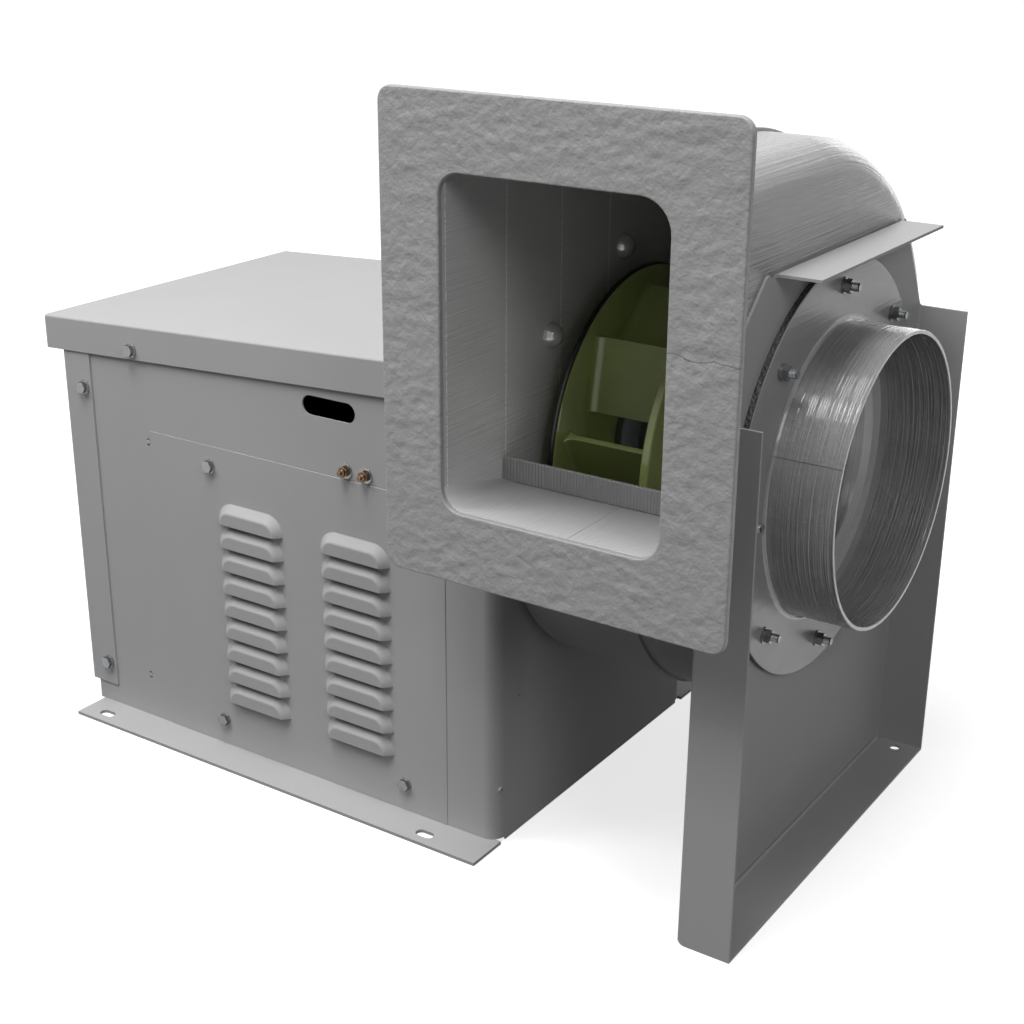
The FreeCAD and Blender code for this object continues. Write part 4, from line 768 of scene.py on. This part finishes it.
# Material 1 is black: the rim, and the band of the disc's face next to it.
for face in wheel.faces:
    middle = face.calc_center_median() / MM
    face.material_index = int(from_shaft(middle) > BLACK_FROM_R and middle.x < DISC_FACE + 1)
soften(piece("impeller_wheel_finish", wheel, [green_resin("green_pigmented_resin"), black_rim], "fan_rotor",
             ["impeller_wheel"]), edge_mm=0.9)
dressed("impeller_hub", casting, edge_mm=1.2, body="fan_rotor")


# Inlet stand: one pressed steel plate with side flanges, a foot and a top ledge.
# It carries the scroll's inlet wall, in the cabinet's powder coat.
low, high = box_mm("inlet_stand")
WEB_X, FLANGE_X, STAY_HALF, STAY_TOP = low.x, high.x, high.y, high.z
LEDGE_X, LEDGE_FRONT, LEDGE_REAR, STAY_SIDE = 616, -131, 172, 541
CORNER_R, FRONT_CORNER_Y, REAR_CORNER_Y = 10, -141.5, 181.5
# Angles at which the rounded top corners run out into the sloped sides.
REAR_SLOPE, FRONT_SLOPE = 32, 136
FOOT_HALF, FOOT_SIDE, FOOT_HOLE_X, FOOT_HOLE_Y, FOOT_HOLE_R = 219, 252, 597, 237, 6
NOTCH, BEND_R, BEND_CUTS, STAY_T, EYE_R, EYE_CUTS = 8, 6, 6, 3, 163, 40
JOIN_MM, SLIVER_MM, BEND_LEAST = 0.01, 0.3, math.radians(60)


def stand_skin():
    """Outlines of the stand's flat parts with sharp bends; round holes are cut across the middle."""
    eye = (SHAFT.y, SHAFT.z)
    low_web = [(-STAY_HALF, NOTCH), (NOTCH - STAY_HALF, 0), (-FOOT_HALF, 0), (FOOT_HALF, 0),
               (STAY_HALF - NOTCH, 0), (STAY_HALF, NOTCH), (STAY_HALF, eye[1])]
    low_web += arc(eye, EYE_R, 0, -180, EYE_CUTS) + [(-STAY_HALF, eye[1])]
    top_web = [(STAY_HALF, eye[1]), (STAY_HALF, STAY_SIDE)]
    top_web += arc((REAR_CORNER_Y, STAY_TOP - CORNER_R), CORNER_R, REAR_SLOPE, 90, steps=5)
    top_web += [(LEDGE_REAR, STAY_TOP), (LEDGE_FRONT, STAY_TOP)]
    top_web += arc((FRONT_CORNER_Y, STAY_TOP - CORNER_R), CORNER_R, 90, FRONT_SLOPE, steps=5)
    top_web += [(-STAY_HALF, STAY_SIDE), (-STAY_HALF, eye[1])] + arc(eye, EYE_R, 180, 0, EYE_CUTS)
    skin = [[(WEB_X, y, z) for y, z in web] for web in (low_web, top_web)]
    skin.append([(WEB_X, LEDGE_REAR, STAY_TOP), (LEDGE_X, LEDGE_REAR, STAY_TOP),
                 (LEDGE_X, LEDGE_FRONT, STAY_TOP), (WEB_X, LEDGE_FRONT, STAY_TOP)])
    skin.append([(WEB_X, -FOOT_HALF, 0), (WEB_X, FOOT_HALF, 0), (FOOT_HOLE_X, FOOT_HALF, 0),
                 (FLANGE_X, FOOT_HALF, 0), (FLANGE_X, -FOOT_HALF, 0), (FOOT_HOLE_X, -FOOT_HALF, 0)])
    flange = [(WEB_X, eye[1]), (WEB_X, NOTCH)] + arc((WEB_X + NOTCH, NOTCH), NOTCH, 180, 270, steps=5)[1:]
    flange += [(FLANGE_X, 0), (FLANGE_X, STAY_SIDE), (WEB_X, STAY_SIDE)]
    hole = (FOOT_HOLE_X, FOOT_HOLE_Y)
    near_web = [(WEB_X, FOOT_HALF), (WEB_X, STAY_HALF - NOTCH), (WEB_X + NOTCH, FOOT_SIDE),
                (FOOT_HOLE_X, FOOT_SIDE)] + arc(hole, FOOT_HOLE_R, 90, 270) + [(FOOT_HOLE_X, FOOT_HALF)]
    near_lip = [(FOOT_HOLE_X, FOOT_HALF)] + arc(hole, FOOT_HOLE_R, 270, 450) + [
        (FOOT_HOLE_X, FOOT_SIDE), (FLANGE_X, FOOT_SIDE), (FLANGE_X, FOOT_HALF)]
    for side in (-1, 1):
        skin.append([(x, side * STAY_HALF, z) for x, z in flange])
        skin += [[(x, side * y, 0) for x, y in foot] for foot in (near_web, near_lip)]
    return skin


stand = bmesh.new()
for outline in stand_skin():
    stand.faces.new([stand.verts.new(Vector(spot) * MM) for spot in outline])
bmesh.ops.remove_doubles(stand, verts=stand.verts, dist=JOIN_MM * MM)
bmesh.ops.recalc_face_normals(stand, faces=stand.faces)
if sum(face.normal.x * face.calc_area() for face in stand.faces) > 0:
    bmesh.ops.reverse_faces(stand, faces=stand.faces)
bends = [edge for edge in stand.edges
         if len(edge.link_faces) == 2 and edge.calc_face_angle() > BEND_LEAST]
bmesh.ops.bevel(stand, geom=bends, offset=BEND_R * MM, offset_type="OFFSET", segments=BEND_CUTS,
                profile=0.5, affect="EDGES", material=-1)
bmesh.ops.remove_doubles(stand, verts=stand.verts, dist=SLIVER_MM * MM)
bmesh.ops.solidify(stand, geom=stand.faces[:], thickness=STAY_T * MM)
soften(piece("inlet_stand_finish", stand, [cabinet_coat], "cabinet", ["inlet_stand"]),
       edge_mm=0.4)


# Inlet plate: a round laid-up disc bolted over the stand's hole; its rough trimmed edge is painted dark as
# shade.
# Its face shows the slanting pulls of the roller that laid the cloth.
low, high = box_mm("inlet_plate")
PLATE_BACK, PLATE_FACE, PLATE_R, BORE_R = low.x, high.x, high.y - SHAFT.y, 148.4
EDGE_IN, EDGE_DOWN, EDGE_BAND, ROUND_STEPS = 1.4, 0.8, 0.5, 180


def rolled_laminate(name):
    """Light grey laminate with slanting, softly shining pulls."""
    material, nodes, shader = surface(name, "#a2a2a2", roughness=0.28)
    place = places(nodes)
    mottle(nodes, shader, place, "#a8a8a8", "#939393", size_mm=35, detail=6.0)
    pulls = streaks(nodes, place, lengths_mm=(60, 90, 3.2), detail=4.0, tilt=-28)
    emboss(nodes, shader, pulls, strength=0.6, depth_mm=0.7)
    return material


def painted_shade_edge(name):
    """The plate's edge, painted near black as shade, with random lighter chips and wet-looking sparks."""
    material, nodes, shader = surface(name, "#3c3c3c", roughness=0.22, specular=0.7)
    place = places(nodes)
    mottle(nodes, shader, place, "#5e5e5e", "#000000", size_mm=14)
    emboss(nodes, shader, grain(nodes, place, size_mm=3, detail=4.0), strength=1.0, depth_mm=4)
    return material


plate = bmesh.new()
turned(plate, [(PLATE_BACK, BORE_R), (PLATE_FACE, BORE_R), (PLATE_FACE, PLATE_R - EDGE_IN),
               (PLATE_FACE - EDGE_DOWN, PLATE_R), (PLATE_BACK, PLATE_R)], SHAFT, "X", ROUND_STEPS)
# Material 1, the outermost band round the edge, is the dark painted shade.
for face in plate.faces:
    face.material_index = int(from_shaft(face.calc_center_median() / MM) > PLATE_R - EDGE_BAND)
soften(piece("inlet_plate_finish", plate, [rolled_laminate("rolled_laminate"),
                                           painted_shade_edge("plate_edge_painted_shade")],
             "cabinet", ["inlet_plate"]))


# Inlet collar: filament wound on a mandrel and bonded to the plate with a cove of resin.
# The roving leaves close rings round it, and one lap of tape runs along its front.
COLLAR_END, COLLAR_R, COLLAR_LIP = box_mm("inlet_collar")[1].x, 152.4, 0.5
RING_STEP, RING_HIGH, RINGS_INSIDE, RINGS_OUTSIDE = 1.2, 0.32, 56, 49
INSIDE_FROM, OUTSIDE_FROM, INSIDE_SHARE = 2, 2.2, 0.65
LAP_FROM, LAP_TO, LAP_DROP = 159.0, 159.4, -0.35
# The cove, from the collar out to the plate: how far in front of the plate, and how far out.
COVE = [(6, 0), (3.2, 0.5), (1.3, 1.8), (0.3, 3.6), (0, 5.6)]


def wound_laminate(name, light, dark):
    """Filament-wound tube under clear resin: glossy broken rings round the shaft, dents, and a tape lap."""
    material, nodes, shader = surface(name, light, roughness=0.15, specular=0.45)
    shader.inputs["Coat Weight"].default_value = 0.6
    shader.inputs["Coat Roughness"].default_value = 0.08
    place = places(nodes)
    mottle(nodes, shader, place, light, dark, size_mm=28, detail=5.0)
    roving = streaks(nodes, place, lengths_mm=(2.4, 140, 140), detail=4.0, roughness=0.6)
    spot = add(nodes, "ShaderNodeSeparateXYZ", {0: place}).outputs
    y = reckon(nodes, "SUBTRACT", spot["Y"], SHAFT.y * MM)
    z = reckon(nodes, "SUBTRACT", spot["Z"], SHAFT.z * MM)
    lap = ramp(nodes, reckon(nodes, "ARCTAN2", z, y), math.radians(LAP_FROM), math.radians(LAP_TO))
    lapped = reckon(nodes, "MULTIPLY_ADD", lap, LAP_DROP, roving)
    dents = grain(nodes, place, size_mm=9, detail=4.0, roughness=0.65)
    emboss(nodes, shader, dents, strength=0.45, depth_mm=2.4)
    emboss(nodes, shader, lapped, strength=0.85, depth_mm=2.4)
    return material


# Every second point is the crest of a ring, and the crests differ in height.
ridges = [RING_HIGH * (i % 2) * (0.7 + 0.3 * math.sin(5 * i)) for i in range(RINGS_INSIDE)]
inside = [(PLATE_FACE + INSIDE_FROM + RING_STEP * i, BORE_R - INSIDE_SHARE * ridges[i])
          for i in range(RINGS_INSIDE)]
lip = [(COLLAR_END - COLLAR_LIP, BORE_R), (COLLAR_END, BORE_R + COLLAR_LIP),
       (COLLAR_END, COLLAR_R - COLLAR_LIP), (COLLAR_END - COLLAR_LIP, COLLAR_R)]
outside = [(COLLAR_END - OUTSIDE_FROM - RING_STEP * i, COLLAR_R + ridges[i]) for i in range(RINGS_OUTSIDE)]
cove = [(PLATE_FACE + front, COLLAR_R + out) for front, out in COVE]
collar = bmesh.new()
turned(collar, [(PLATE_FACE, BORE_R)] + inside + lip + outside + cove, SHAFT, "X", ROUND_STEPS)
wound = wound_laminate("filament_wound_laminate", "#9e9e9e", "#848484")
soften(piece("inlet_collar_finish", collar, [wound], "cabinet", ["inlet_collar"]), turn=12)


# Inlet cone: a moulded bell behind the plate that leads the air into the wheel's eye.
# It is laid up over a turned form in the scroll's resin, and bonded to the back of the plate.
dressed("inlet_cone", lining, edge_mm=0.5)


# Inlet studs: M8 studs in the plate with nuts, lock washers and washers, zinc plated.
# The rolled thread stands out beyond each nut.
STUDS, STUD_CIRCLE_R = 8, 190
THREAD_FROM, THREAD_TO, PITCH, CORE_R, ROOT_R, CREST_R = 586, 593.4, 1.25, 3.4, 3.9, 4.35
turns = int((THREAD_TO - THREAD_FROM) / PITCH)
profile = [(THREAD_FROM, CORE_R)]
for ridge in range(turns):
    profile += [(THREAD_FROM + (ridge + 0.5) * PITCH, CREST_R), (THREAD_FROM + (ridge + 1) * PITCH, ROOT_R)]
profile.append((THREAD_FROM + turns * PITCH, CORE_R))
for number in range(STUDS):
    dressed(f"inlet_stud_{number + 1}", zinc, edge_mm=0.5, turn=25)
    thread = bmesh.new()
    turned(thread, profile, round_shaft(STUD_CIRCLE_R, 360 / STUDS * number), "X", steps=28)
    soften(piece(f"stud_thread_{number + 1}", thread, [zinc], "cabinet"), turn=50)
